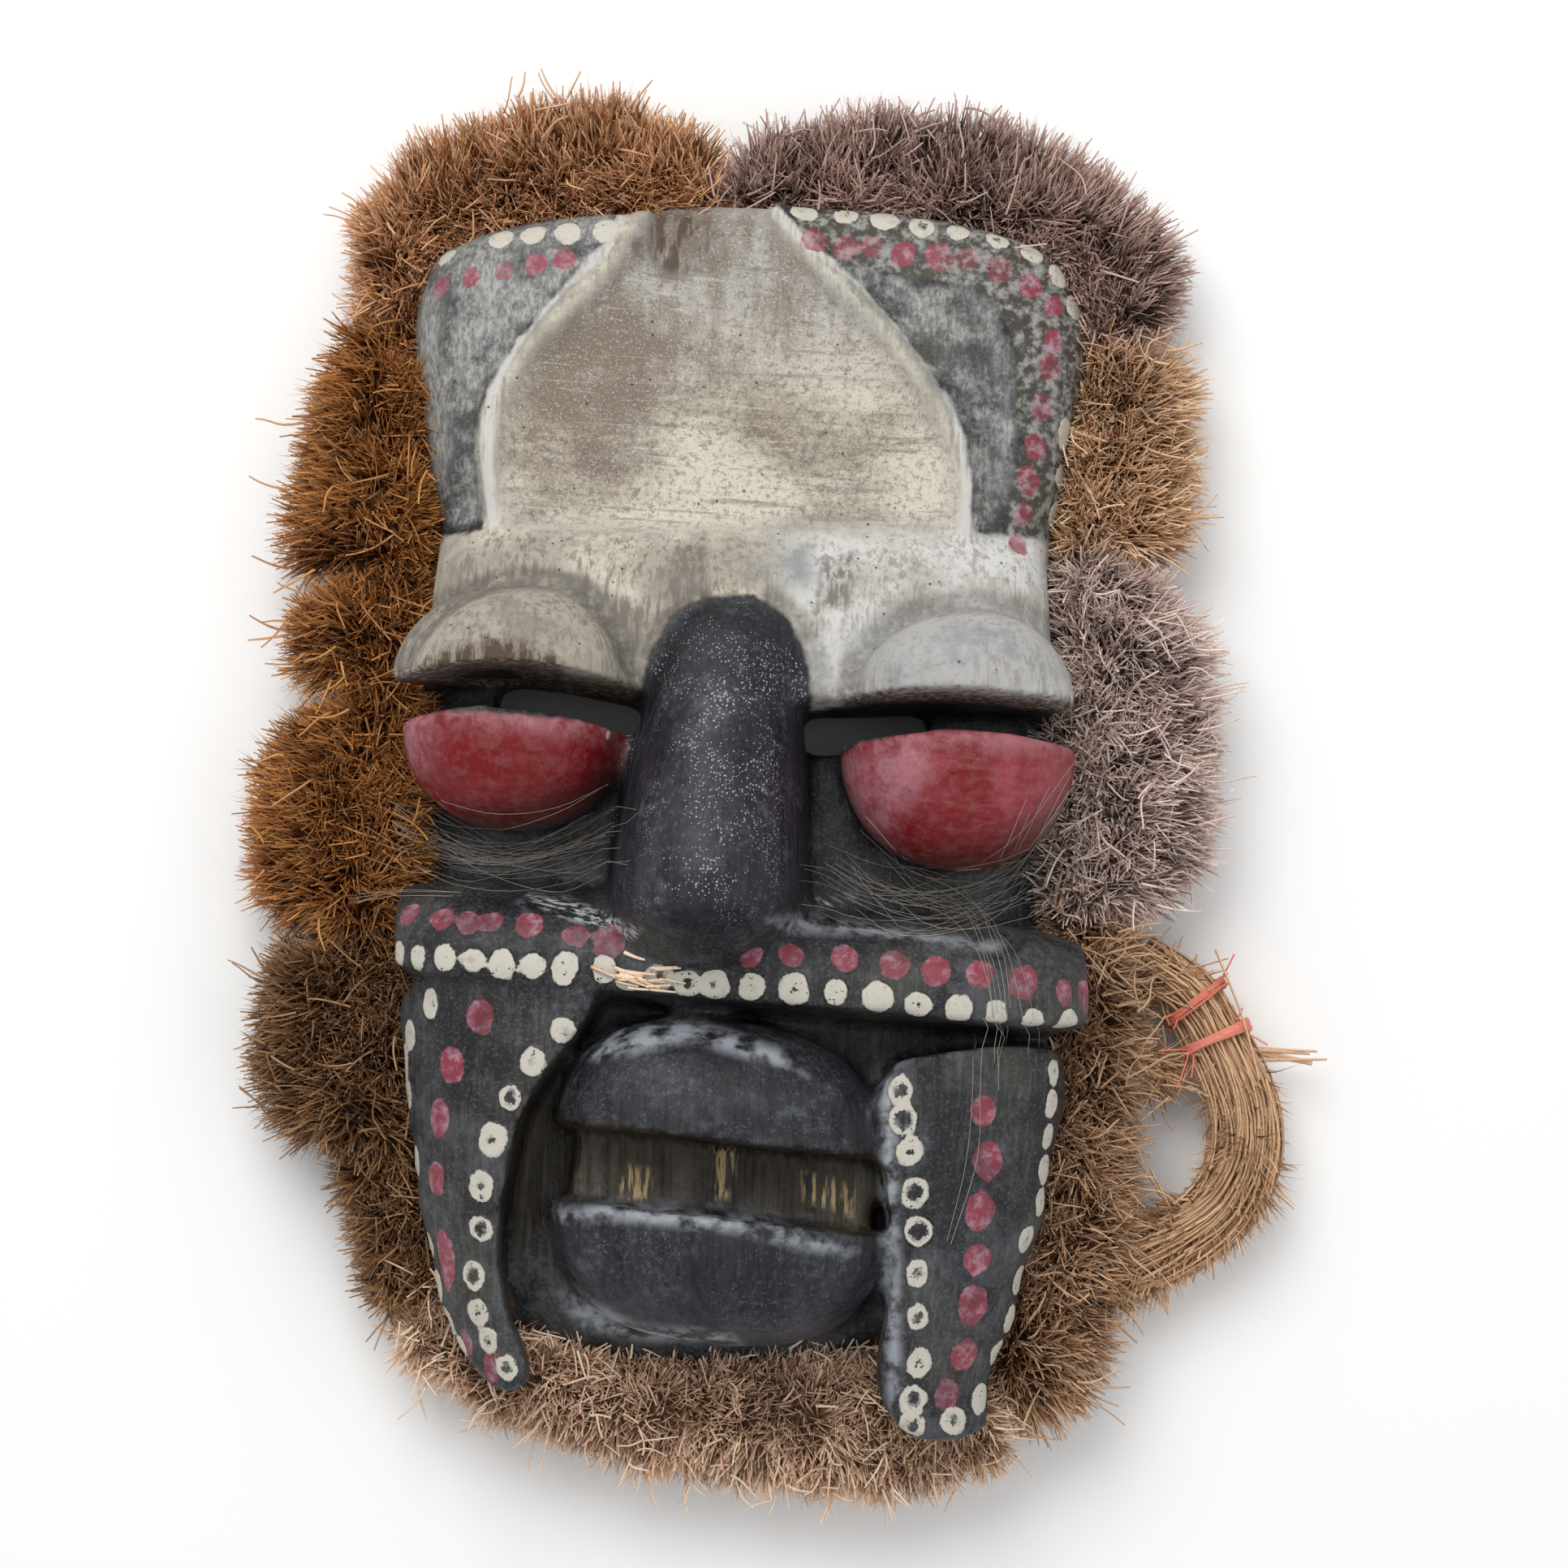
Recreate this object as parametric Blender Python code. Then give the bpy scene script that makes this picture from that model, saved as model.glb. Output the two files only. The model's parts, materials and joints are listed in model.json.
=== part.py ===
"""A carved wooden face mask with a clipped raffia ruff, lying on its back.

Metres, +Z up out of the face, +Y towards the forehead. The wood is one hollow solid. The ruff is
made of hanks of raffia, each a closed solid of its outer form, set round the rim of the wood.
"""

import math

import bmesh
import bpy
from mathutils import Matrix, Vector

# Wooden shell
TOP_Y = 0.197
CHIN_Y = -0.187
CORNER_LENGTH = 0.028
CORNER_POWER = 2.5
WALL = 0.012
END_FLAT = 0.0006
CROWN_DROP = 0.06
SHELL_STATION_GAP = 0.011
# Along the face: y, half width, height of the bare shell, squareness of its section
SHELL_STATIONS = (
    (0.200, 0.1130, 0.054, 7.0),
    (0.150, 0.1145, 0.060, 7.0),
    (0.110, 0.1085, 0.063, 6.5),
    (0.082, 0.1030, 0.063, 6.0),
    (0.050, 0.1055, 0.056, 5.0),
    (0.020, 0.1085, 0.050, 4.5),
    (-0.040, 0.1085, 0.050, 4.5),
    (-0.075, 0.1100, 0.050, 4.5),
    (-0.100, 0.1070, 0.050, 4.5),
    (-0.130, 0.1025, 0.050, 4.5),
    (-0.160, 0.0955, 0.048, 4.5),
    (-0.190, 0.0850, 0.044, 4.5),
)

# Forehead: a shallow dish inside a raised arch
DISH_DEPTH = 0.0045
DISH_FOOT_LENGTH = 0.020
ARCH_RADIUS = 0.0056
ARCH_RISE = -0.0024
ARCH_FOOT_Y = 0.076
# The arch's line from its left end round the foot of the forehead: x, y
ARCH_LEFT = (
    (-0.036, 0.1945),
    (-0.050, 0.171),
    (-0.066, 0.153),
    (-0.078, 0.139),
    (-0.084, 0.122),
    (-0.084, 0.103),
    (-0.080, ARCH_FOOT_Y),
)
ARCH_RIGHT = (
    (0.007, 0.1945),
    (0.021, 0.178),
    (0.037, 0.162),
    (0.051, 0.149),
    (0.062, 0.133),
    (0.070, 0.118),
    (0.073, 0.102),
    (0.074, ARCH_FOOT_Y),
)
ARCH_STEPS = 3

# Brow block, cut flat below over the eyes
BROW_INSET = 0.0015
BROW_BASE_Z = 0.020
EYE_LINE_Y = 0.026
BROW_RISE = ((0.088, 0.060), (0.080, 0.069), (0.068, 0.077), (0.048, 0.082), (EYE_LINE_Y, 0.084))

# Eyes: upper lids above the eye line, lower lids below the gap
LID_GAP = 0.0115
LID_POWER = 2.15
LID_BASE_Z = 0.070
LOWER_LID_BASE_Z = 0.064
LEFT_EYE_X = -0.0720
RIGHT_EYE_X = 0.0725
UPPER_LIDS = (
    (LEFT_EYE_X, 0.0405, 0.0380, 0.034),
    (RIGHT_EYE_X, 0.0380, 0.0345, 0.034),
)
LOWER_LIDS = (
    (LEFT_EYE_X, 0.0370, 0.0320, 0.033),
    (RIGHT_EYE_X, 0.0390, 0.0400, 0.034),
)
SLOT_HEIGHT = 0.0125
SLOT_BELOW_LINE = 0.0005
SLOTS = ((-0.0800, -0.0310), (0.0220, 0.0630))

# Lids and lips are halves of squared balls
BALL_SEGMENTS = 24
BALL_RINGS = 14

# Nose: y, middle x, half width, top z
NOSE_BASE_Z = 0.030
NOSE_POWER = 3.0
NOSE_STATIONS = (
    (0.058, -0.0010, 0.0140, 0.0830),
    (0.053, -0.0015, 0.0215, 0.0890),
    (0.038, -0.0030, 0.0260, 0.0980),
    (0.010, -0.0050, 0.0290, 0.1110),
    (-0.015, -0.0065, 0.0315, 0.1210),
    (-0.034, -0.0070, 0.0325, 0.1260),
    (-0.044, -0.0075, 0.0320, 0.1235),
    (-0.051, -0.0080, 0.0285, 0.1120),
    (-0.057, -0.0085, 0.0215, 0.0980),
    (-0.061, -0.0090, 0.0130, 0.0895),
)
NOSE_HOLLOW_WALL = 0.014
NOSE_HOLLOW_Y = (0.040, -0.045)

# Pockets that deepen the hollow behind the brow and the mouth: y, half width, height
POCKET_BASE_Z = 0.020
POCKET_POWER = 3.0
BROW_POCKET = (
    (0.074, 0.080, 0.050),
    (0.066, 0.086, 0.060),
    (0.045, 0.088, 0.066),
    (0.036, 0.086, 0.062),
)
MOUTH_POCKET = (
    (-0.086, 0.034, 0.044),
    (-0.095, 0.040, 0.052),
    (-0.150, 0.040, 0.052),
    (-0.160, 0.034, 0.044),
)

# Band across the face under the nose
BAND_TILT = math.radians(-3.0)
BAND_LEFT_X = -0.1085
BAND_RIGHT_X = 0.1165
BAND_MIDDLE_Y = -0.0545
BAND_BASE_Z = 0.046
BAND_TOP_Z = 0.0865
BAND_END_LENGTH = 0.022
BAND_END_DROP = 0.016
# Across the band: distance above its middle line, share of its height over the shell
BAND_PROFILE = (
    (0.0190, 0.00),
    (0.0175, 0.30),
    (0.0120, 0.66),
    (0.0050, 0.88),
    (-0.0040, 0.98),
    (-0.0120, 1.00),
    (-0.0160, 0.95),
    (-0.0170, 0.00),
)

# Panels at the sides of the mouth, cut from a rounded face block
PANEL_BASE_Z = 0.0470
PANEL_TOP_Z = 0.0865
PANEL_TOP_Z_AT_CHIN = 0.0740
PANEL_POWER = 3.6
PANEL_INSET = 0.0010
PANEL_END_Y = -0.215
# Each panel's outline, clockwise from its upper outer corner: x, y
LEFT_PANEL = (
    (-0.1060, -0.0700),
    (-0.0430, -0.0700),
    (-0.0470, -0.0820),
    (-0.0590, -0.0990),
    (-0.0660, -0.1180),
    (-0.0690, -0.1430),
    (-0.0670, -0.1690),
    (-0.0590, -0.1920),
    (-0.0640, -0.1965),
    (-0.0800, -0.1860),
    (-0.0950, -0.1640),
    (-0.1120, -0.1300),
)
RIGHT_PANEL = (
    (0.0530, -0.0890),
    (0.0620, -0.0860),
    (0.1120, -0.0870),
    (0.1120, -0.1240),
    (0.1010, -0.1560),
    (0.0920, -0.1840),
    (0.0800, -0.2045),
    (0.0590, -0.2045),
    (0.0560, -0.1500),
)

# Mouth
MOUTH_TILT = math.radians(-4.5)
LIP_BASE_Z = 0.060
LIP_POWER = 2.5
UPPER_LIP = {"middle": (-0.0020, -0.1150), "half": (0.0525, 0.0400), "rise": 0.036}
LOWER_LIP = {"middle": (0.0000, -0.1390), "half": (0.0545, 0.0410), "rise": 0.038}
TEETH_X = (-0.0465, 0.0500)
TEETH_Z = 0.0670
TEETH_OVERLAP = 0.006

# Raffia ruff: hanks round the rim
RIM_GAP = 0.0005
RIM_OVERLAP = 0.003
HANK_GAP_DEGREES = 0.30
HANK_HEIGHT = 0.030
HANK_HEIGHT_PER_WIDTH = 0.33
HANK_PINCH = 0.16
HANK_SECTION_POINTS = 12
HANK_SECTION_POWER = 2.4
HANK_STATION_DEGREES = 4.5
HANK_EASE_DEGREES = 9.0
# Name, from and to round the rim in degrees clockwise from the forehead, width at the start,
# middle and end, colour
GOLDEN = (0.42, 0.24, 0.09)
DARK_BROWN = (0.16, 0.10, 0.07)
STRAW = (0.55, 0.36, 0.17)
GREY_BROWN = (0.24, 0.18, 0.14)
HANKS = (
    ("raffia_crown_right", -3.0, 36.0, 0.034, 0.045, 0.038, DARK_BROWN),
    ("raffia_brow_right", 36.0, 50.5, 0.038, 0.043, 0.046, STRAW),
    ("raffia_eye_right", 50.5, 107.5, 0.050, 0.056, 0.048, GREY_BROWN),
    ("raffia_jaw_right", 107.5, 156.0, 0.032, 0.030, 0.050, STRAW),
    ("raffia_chin", 156.0, 209.0, 0.056, 0.041, 0.030, GOLDEN),
    ("raffia_jaw_left", 209.0, 222.0, 0.028, 0.026, 0.030, GOLDEN),
    ("raffia_cheek_left", 222.0, 245.0, 0.046, 0.051, 0.046, GOLDEN),
    ("raffia_eye_left", 245.0, 284.5, 0.050, 0.056, 0.046, GOLDEN),
    ("raffia_temple_left", 284.5, 304.0, 0.044, 0.050, 0.048, GOLDEN),
    ("raffia_brow_left", 304.0, 324.0, 0.052, 0.048, 0.030, GOLDEN),
    ("raffia_crown_left", 324.0, 357.0, 0.028, 0.048, 0.034, GOLDEN),
)

# Loose bundle of the right jaw's hank, which leaves the ruff and loops back: x, y, radius
LOOP_HANK = "raffia_jaw_right"
LOOP_LIFT = 0.0040
LOOP_POINTS = (
    (0.1370, -0.0500, 0.0110),
    (0.1545, -0.0610, 0.0115),
    (0.1655, -0.0790, 0.0120),
    (0.1735, -0.0980, 0.0125),
    (0.1735, -0.1165, 0.0130),
    (0.1655, -0.1330, 0.0130),
    (0.1500, -0.1450, 0.0125),
    (0.1330, -0.1530, 0.0120),
    (0.1180, -0.1590, 0.0110),
)
STRAND_POINTS = (
    (0.1230, -0.0770, 0.0100),
    (0.1360, -0.0840, 0.0095),
    (0.1470, -0.0880, 0.0090),
)
TUBE_STEPS = 3
TUBE_RESOLUTION = 2

# Thread ties round the loop, and the cut end of a stalk that is held by one
TIE_CLEARANCE = 0.0005
TIE_THREAD = 0.0012
TIE_SIDES = 6
TIE_STEPS = 18
TIE_AT = {"tie_upper": 0.16, "tie_lower": 0.25}
STALK_AT = 0.29
STALK_GAP = 0.0005
STALK_LENGTH = 0.022
STALK_RADIUS = 0.0020
STALK_TIP_RADIUS = 0.0008
STALK_TURN = math.radians(-2.0)


def clear_scene():
    """Remove whatever the scene holds."""
    for old in list(bpy.data.objects):
        bpy.data.objects.remove(old, do_unlink=True)


def new_collection(name):
    """A collection linked to the scene."""
    made = bpy.data.collections.new(name)
    bpy.context.scene.collection.children.link(made)
    return made


def material(name, colour, roughness):
    """A plain finish."""
    made = bpy.data.materials.new(name)
    made.use_nodes = True
    shader = made.node_tree.nodes["Principled BSDF"]
    shader.inputs["Base Color"].default_value = (*colour, 1.0)
    shader.inputs["Roughness"].default_value = roughness
    shader.inputs["Metallic"].default_value = 0.0
    return made


def smooth_between(stations, at):
    """The values of a table at one place, eased between its rows. The first column falls."""
    if at >= stations[0][0]:
        return stations[0][1:]
    for before, after in zip(stations, stations[1:]):
        if at >= after[0]:
            share = (before[0] - at) / (before[0] - after[0])
            share = share * share * (3.0 - 2.0 * share)
            return tuple(a + (b - a) * share for a, b in zip(before[1:], after[1:]))
    return stations[-1][1:]


def corner_share(y, inset=0.0):
    """How much of the full width the shell still has near its top and chin ends."""
    from_end = min(TOP_Y - inset - y, y - CHIN_Y - inset)
    past = max(0.0, 1.0 - from_end / CORNER_LENGTH)
    return (1.0 - min(past, 1.0) ** CORNER_POWER) ** (1.0 / CORNER_POWER)


def edge_height(y):
    """Share of the shell's height kept where its top and chin edges are rounded over."""
    return 0.80 + 0.20 * corner_share(y)


def shell_section(y):
    """Half width, height and squareness of the shell at a place along the face."""
    half_width, height, power = smooth_between(SHELL_STATIONS, y)
    return half_width * corner_share(y), height, power


def across_shares(steps):
    """Places from side to side, -1 to 1, closer together towards the sides."""
    right = [math.sin(0.5 * math.pi * (1.0 - (1.0 - k / steps) ** 1.5)) for k in range(steps + 1)]
    return [-share for share in reversed(right[1:])] + right


def arch_side(points, y):
    """Where one side of the arch stands at a place along the face."""
    for (x0, y0), (x1, y1) in zip(points, points[1:]):
        if y >= y1:
            return x0 + (x1 - x0) * min(1.0, (y0 - y) / (y0 - y1))
    return points[-1][0]


def dish(x, y):
    """Depth of the forehead's dish, which fills the arch."""
    left = arch_side(ARCH_LEFT, y)
    right = arch_side(ARCH_RIGHT, y)
    share = (2.0 * x - left - right) / (right - left)
    if abs(share) >= 1.0 or y <= ARCH_FOOT_Y:
        return 0.0
    along = min(1.0, (y - ARCH_FOOT_Y) / DISH_FOOT_LENGTH)
    return DISH_DEPTH * math.sqrt((1.0 - share * share) * along)


def crown(share, height, power):
    """Height of a rounded block at a share of its half width."""
    edge = max(0.0, 1.0 - abs(share) ** power) ** (1.0 / power)
    return height * (1.0 - CROWN_DROP * share * share) * edge


def shell_height(x, y):
    """Height of the bare shell over a point."""
    half_width, height, power = shell_section(y)
    share = max(-1.0, min(1.0, x / half_width))
    return crown(share, height * edge_height(y), power) - dish(x, y)


def block_ring(y, half_width, height, power, base=0.0, middle=0.0, steps=10, dished=False):
    """A rounded section across the face, open below to its flat base."""
    ring = []
    for share in across_shares(steps):
        x = middle + half_width * share
        z = base + crown(share, height - base, power)
        if dished:
            z = max(base, z - dish(x, y))
        ring.append(Vector((x, y, z)))
    return ring


def loft(name, rings):
    """A closed solid through sections that have as many points each."""
    mesh = bpy.data.meshes.new(name)
    shape = bmesh.new()
    rows = [[shape.verts.new(point) for point in ring] for ring in rings]
    count = len(rings[0])
    for row, following in zip(rows, rows[1:]):
        for i in range(count):
            j = (i + 1) % count
            shape.faces.new((row[i], row[j], following[j], following[i]))
    shape.faces.new(rows[0])
    shape.faces.new(rows[-1])
    bmesh.ops.recalc_face_normals(shape, faces=shape.faces)
    shape.to_mesh(mesh)
    shape.free()
    return bpy.data.objects.new(name, mesh)


def prism(name, outline, low, high):
    """A flat outline raised between two heights."""
    curve = bpy.data.curves.new(name, "CURVE")
    curve.dimensions = "2D"
    curve.fill_mode = "BOTH"
    curve.extrude = (high - low) / 2.0
    curve.resolution_u = 4
    spline = curve.splines.new("BEZIER")
    spline.bezier_points.add(len(outline) - 1)
    for point, (x, y) in zip(spline.bezier_points, outline):
        point.co = (x, y, 0.0)
        point.handle_left_type = "AUTO"
        point.handle_right_type = "AUTO"
    spline.use_cyclic_u = True
    obj = bpy.data.objects.new(name, curve)
    obj.location.z = (low + high) / 2.0
    return as_mesh(obj)


def as_mesh(obj):
    """A mesh object in place of a curve object, with its caps welded."""
    bpy.context.scene.collection.objects.link(obj)
    bpy.context.view_layer.update()
    graph = bpy.context.evaluated_depsgraph_get()
    mesh = bpy.data.meshes.new_from_object(obj.evaluated_get(graph))
    mesh.transform(obj.matrix_world)
    name = obj.name
    bpy.data.objects.remove(obj)
    shape = bmesh.new()
    shape.from_mesh(mesh)
    bmesh.ops.remove_doubles(shape, verts=shape.verts, dist=0.00005)
    bmesh.ops.recalc_face_normals(shape, faces=shape.faces)
    shape.to_mesh(mesh)
    shape.free()
    return bpy.data.objects.new(name, mesh)


def slab(name, low, high, turn=0.0, about=(0.0, 0.0)):
    """A box between two corners, turned about an upright axis."""
    mesh = bpy.data.meshes.new(name)
    shape = bmesh.new()
    size = [b - a for a, b in zip(low, high)]
    middle = [(a + b) / 2.0 for a, b in zip(low, high)]
    bmesh.ops.create_cube(shape, size=1.0)
    pivot = Matrix.Translation((*about, 0.0))
    place = pivot @ Matrix.Rotation(turn, 4, "Z") @ pivot.inverted() @ Matrix.Translation(middle)
    bmesh.ops.transform(shape, matrix=place @ Matrix.Diagonal((*size, 1.0)), verts=shape.verts)
    shape.to_mesh(mesh)
    shape.free()
    return bpy.data.objects.new(name, mesh)


def half_ball(name, middle, half, power, keep_above, turn=0.0):
    """Half of a squared, stretched ball, cut upright across its middle, on one side of the cut."""
    mesh = bpy.data.meshes.new(name)
    shape = bmesh.new()
    bmesh.ops.create_uvsphere(shape, u_segments=BALL_SEGMENTS, v_segments=BALL_RINGS, radius=1.0)
    pole_sideways = Matrix.Rotation(math.radians(90.0), 4, "Y")
    bmesh.ops.transform(shape, matrix=pole_sideways, verts=shape.verts)
    for vert in shape.verts:
        reach = sum(abs(step) ** power for step in vert.co) ** (1.0 / power)
        vert.co = [step / reach * size for step, size in zip(vert.co, half)]
    cut = bmesh.ops.bisect_plane(
        shape,
        geom=shape.verts[:] + shape.edges[:] + shape.faces[:],
        dist=0.000001,
        plane_co=(0.0, 0.0, 0.0),
        plane_no=(0.0, -1.0 if keep_above else 1.0, 0.0),
        clear_outer=True,
    )
    rim = [item for item in cut["geom_cut"] if isinstance(item, bmesh.types.BMEdge)]
    bmesh.ops.edgeloop_fill(shape, edges=rim)
    bmesh.ops.recalc_face_normals(shape, faces=shape.faces)
    place = Matrix.Translation(middle) @ Matrix.Rotation(turn, 4, "Z")
    bmesh.ops.transform(shape, matrix=place, verts=shape.verts)
    shape.to_mesh(mesh)
    shape.free()
    return bpy.data.objects.new(name, mesh)


def stations_between(low, high, gap):
    """Even places from high down to low, about a gap apart."""
    count = max(2, round((high - low) / gap))
    return [high + (low - high) * k / count for k in range(count + 1)]


def shell_places():
    """Places along the shell, closer together where its ends round off."""
    top = TOP_Y - END_FLAT
    chin = CHIN_Y + END_FLAT
    near = [CORNER_LENGTH * share for share in (0.05, 0.13, 0.25, 0.42, 0.65)]
    middle = stations_between(CHIN_Y + CORNER_LENGTH, TOP_Y - CORNER_LENGTH, SHELL_STATION_GAP)
    return (
        [top]
        + [TOP_Y - step for step in near]
        + middle
        + [CHIN_Y + step for step in reversed(near)]
        + [chin]
    )


def build_shell():
    """The bare block of the mask, rounded towards its sides and ends."""
    rings = []
    for y in shell_places():
        half_width, height, power = shell_section(y)
        rings.append(block_ring(y, half_width, height * edge_height(y), power, dished=True))
    return loft("mask_wood", rings)


def hollow_ring(y, foot):
    """The hollow's section: the shell's, a wall smaller, and open through the back."""
    half_width, height, power = smooth_between(SHELL_STATIONS, y)
    half_width = (half_width - WALL) * corner_share(y, WALL)
    ring = block_ring(y, half_width, height - WALL - DISH_DEPTH, power, steps=6)
    ring[0].z = -foot
    ring[-1].z = -foot
    return ring


def build_hollow():
    """The cutter that hollows the back."""
    first = TOP_Y - WALL - END_FLAT
    last = CHIN_Y + WALL + END_FLAT
    near = [CORNER_LENGTH * share for share in (0.06, 0.2, 0.5)]
    inner = stations_between(last + CORNER_LENGTH, first - CORNER_LENGTH, 2.2 * SHELL_STATION_GAP)
    places = [first] + [first - step for step in near] + inner
    places += [last + step for step in reversed(near)] + [last]
    return loft("hollow", [hollow_ring(y, WALL) for y in places])


def eased_points(points, steps):
    """Points on a smooth line through the given ones, of any dimension."""
    made = []
    last = len(points) - 1
    for i in range(last):
        before = points[max(i - 1, 0)]
        start = points[i]
        end = points[i + 1]
        after = points[min(i + 2, last)]
        for k in range(steps):
            t = k / steps
            made.append(
                tuple(
                    0.5
                    * (
                        2.0 * b
                        + (c - a) * t
                        + (2.0 * a - 5.0 * b + 4.0 * c - d) * t * t
                        + (3.0 * b - a - 3.0 * c + d) * t * t * t
                    )
                    for a, b, c, d in zip(before, start, end, after)
                )
            )
    made.append(tuple(points[last]))
    return made


def tube(name, line):
    """A round bar along points of x, y, z and radius, with closed ends."""
    curve = bpy.data.curves.new(name, "CURVE")
    curve.dimensions = "3D"
    curve.bevel_depth = 1.0
    curve.bevel_resolution = TUBE_RESOLUTION
    curve.use_fill_caps = True
    spline = curve.splines.new("POLY")
    spline.points.add(len(line) - 1)
    for point, (x, y, z, radius) in zip(spline.points, line):
        point.co = (x, y, z, 1.0)
        point.radius = radius
    return as_mesh(bpy.data.objects.new(name, curve))


def arch_line(points):
    """The ridge's line over the shell, with its radius."""
    line = []
    for x, y in eased_points(points, ARCH_STEPS):
        line.append((x, y, shell_height(x, y) + dish(x, y) + ARCH_RISE, ARCH_RADIUS))
    return line


def build_brow():
    """The brow: a step that rises from the forehead and is cut flat over the eyes."""
    rings = []
    for y, height in BROW_RISE:
        half_width, _, power = shell_section(y)
        rings.append(block_ring(y, half_width - BROW_INSET, height, power, BROW_BASE_Z))
    return loft("brow", rings)


def build_nose():
    """The long nose that swells towards its tip."""
    rings = []
    for y, middle, half_width, top in NOSE_STATIONS:
        rings.append(block_ring(y, half_width, top, NOSE_POWER, NOSE_BASE_Z, middle, steps=8))
    return loft("nose", rings)


def build_nose_hollow():
    """The cutter that hollows the back of the nose."""
    rings = []
    first, last = NOSE_HOLLOW_Y
    for y in stations_between(last, first, 0.012):
        middle, half_width, top = smooth_between(NOSE_STATIONS, y)
        end = min(first - y, y - last)
        rounding = 0.7 + 0.3 * min(1.0, end / 0.02)
        rings.append(
            block_ring(
                y,
                (half_width - NOSE_HOLLOW_WALL * 0.7) * rounding,
                (top - NOSE_HOLLOW_WALL) * rounding,
                NOSE_POWER,
                NOSE_BASE_Z - 0.005,
                middle,
                steps=4,
            )
        )
    return loft("nose_hollow", rings)


def build_pocket(name, stations):
    """A cutter that deepens the hollow behind a raised form."""
    rings = []
    for y, half_width, height in stations:
        rings.append(block_ring(y, half_width, height, POCKET_POWER, POCKET_BASE_Z, steps=5))
    return loft(name, rings)


def band_ring(x):
    """The band's section at a place from side to side, lower at its ends."""
    from_end = min(x - BAND_LEFT_X, BAND_RIGHT_X - x)
    past = max(0.0, 1.0 - from_end / BAND_END_LENGTH)
    top = BAND_TOP_Z - BAND_END_DROP * past * past
    top -= CROWN_DROP * BAND_TOP_Z * (x / BAND_RIGHT_X) ** 2
    middle = BAND_MIDDLE_Y + math.tan(BAND_TILT) * x
    size = 1.0 - 0.25 * past * past
    return [
        Vector((x, middle + across * size, BAND_BASE_Z + (top - BAND_BASE_Z) * share))
        for across, share in BAND_PROFILE
    ]


def build_band():
    """The dotted band under the nose, from side to side."""
    inner = stations_between(
        BAND_LEFT_X + BAND_END_LENGTH, BAND_RIGHT_X - BAND_END_LENGTH, 0.020
    )
    near = [BAND_END_LENGTH * share for share in (0.0, 0.25, 0.6)]
    places = [BAND_RIGHT_X - step for step in near] + inner
    places += [BAND_LEFT_X + step for step in reversed(near)]
    return loft("band", [band_ring(x) for x in places])


def build_panels(cutters):
    """The two panels beside the mouth: outlines cut out of one rounded block."""
    rings = []
    upper = max(y for _, y in LEFT_PANEL) + WALL
    for y in stations_between(PANEL_END_Y, upper, 0.016):
        half_width = smooth_between(SHELL_STATIONS, y)[0] - PANEL_INSET
        share = (upper - y) / (upper - PANEL_END_Y)
        top = PANEL_TOP_Z + (PANEL_TOP_Z_AT_CHIN - PANEL_TOP_Z) * share * share
        rings.append(block_ring(y, half_width, top, PANEL_POWER, PANEL_BASE_Z / 2.0))
    made = []
    for name, outline in (("left_panel", LEFT_PANEL), ("right_panel", RIGHT_PANEL)):
        panel = prism(name, outline, PANEL_BASE_Z, PANEL_TOP_Z + WALL)
        block = loft(name + "_block", rings)
        as_cutter(block, cutters)
        join(panel, block, "INTERSECT")
        made.append(panel)
    return made


def build_lip(name, lip, keep_above):
    """One lip: half of a stretched ball, flat towards the mouth."""
    middle = (*lip["middle"], LIP_BASE_Z)
    half = (*lip["half"], lip["rise"])
    return half_ball(name, middle, half, LIP_POWER, keep_above, MOUTH_TILT)


def build_teeth():
    """The sunk face between the lips."""
    low = (TEETH_X[0], LOWER_LIP["middle"][1] - TEETH_OVERLAP, BROW_BASE_Z)
    high = (TEETH_X[1], UPPER_LIP["middle"][1] + TEETH_OVERLAP, TEETH_Z)
    return slab("teeth", low, high, MOUTH_TILT, UPPER_LIP["middle"])


def build_eyes():
    """Four lids: the upper ones cut flat below, the lower ones cut flat above."""
    made = []
    for side, (x, half_x, half_y, rise) in zip(("left", "right"), UPPER_LIDS):
        middle = (x, EYE_LINE_Y - 0.0002, LID_BASE_Z)
        half = (half_x, half_y, rise)
        made.append(half_ball(side + "_upper_lid", middle, half, LID_POWER, True))
    for side, (x, half_x, half_y, rise) in zip(("left", "right"), LOWER_LIDS):
        middle = (x, EYE_LINE_Y - LID_GAP, LOWER_LID_BASE_Z)
        half = (half_x, half_y, rise)
        made.append(half_ball(side + "_lower_lid", middle, half, LID_POWER, False))
    return made


def build_slots():
    """The cutters for the two eye slots, right through the wood."""
    top = EYE_LINE_Y - SLOT_BELOW_LINE
    made = []
    for side, (left, right) in zip(("left", "right"), SLOTS):
        low = (left, top - SLOT_HEIGHT, -WALL)
        high = (right, top, PANEL_TOP_Z + WALL)
        made.append(slab(side + "_slot", low, high))
    return made


def as_cutter(obj, cutters):
    """Keep an object as a helper that isn't rendered."""
    cutters.objects.link(obj)
    obj.hide_render = True
    obj.display_type = "WIRE"


def join(target, helper, operation):
    """One Boolean step on a piece."""
    step = target.modifiers.new(helper.name, "BOOLEAN")
    step.operation = operation
    step.object = helper
    step.solver = "EXACT"


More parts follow.
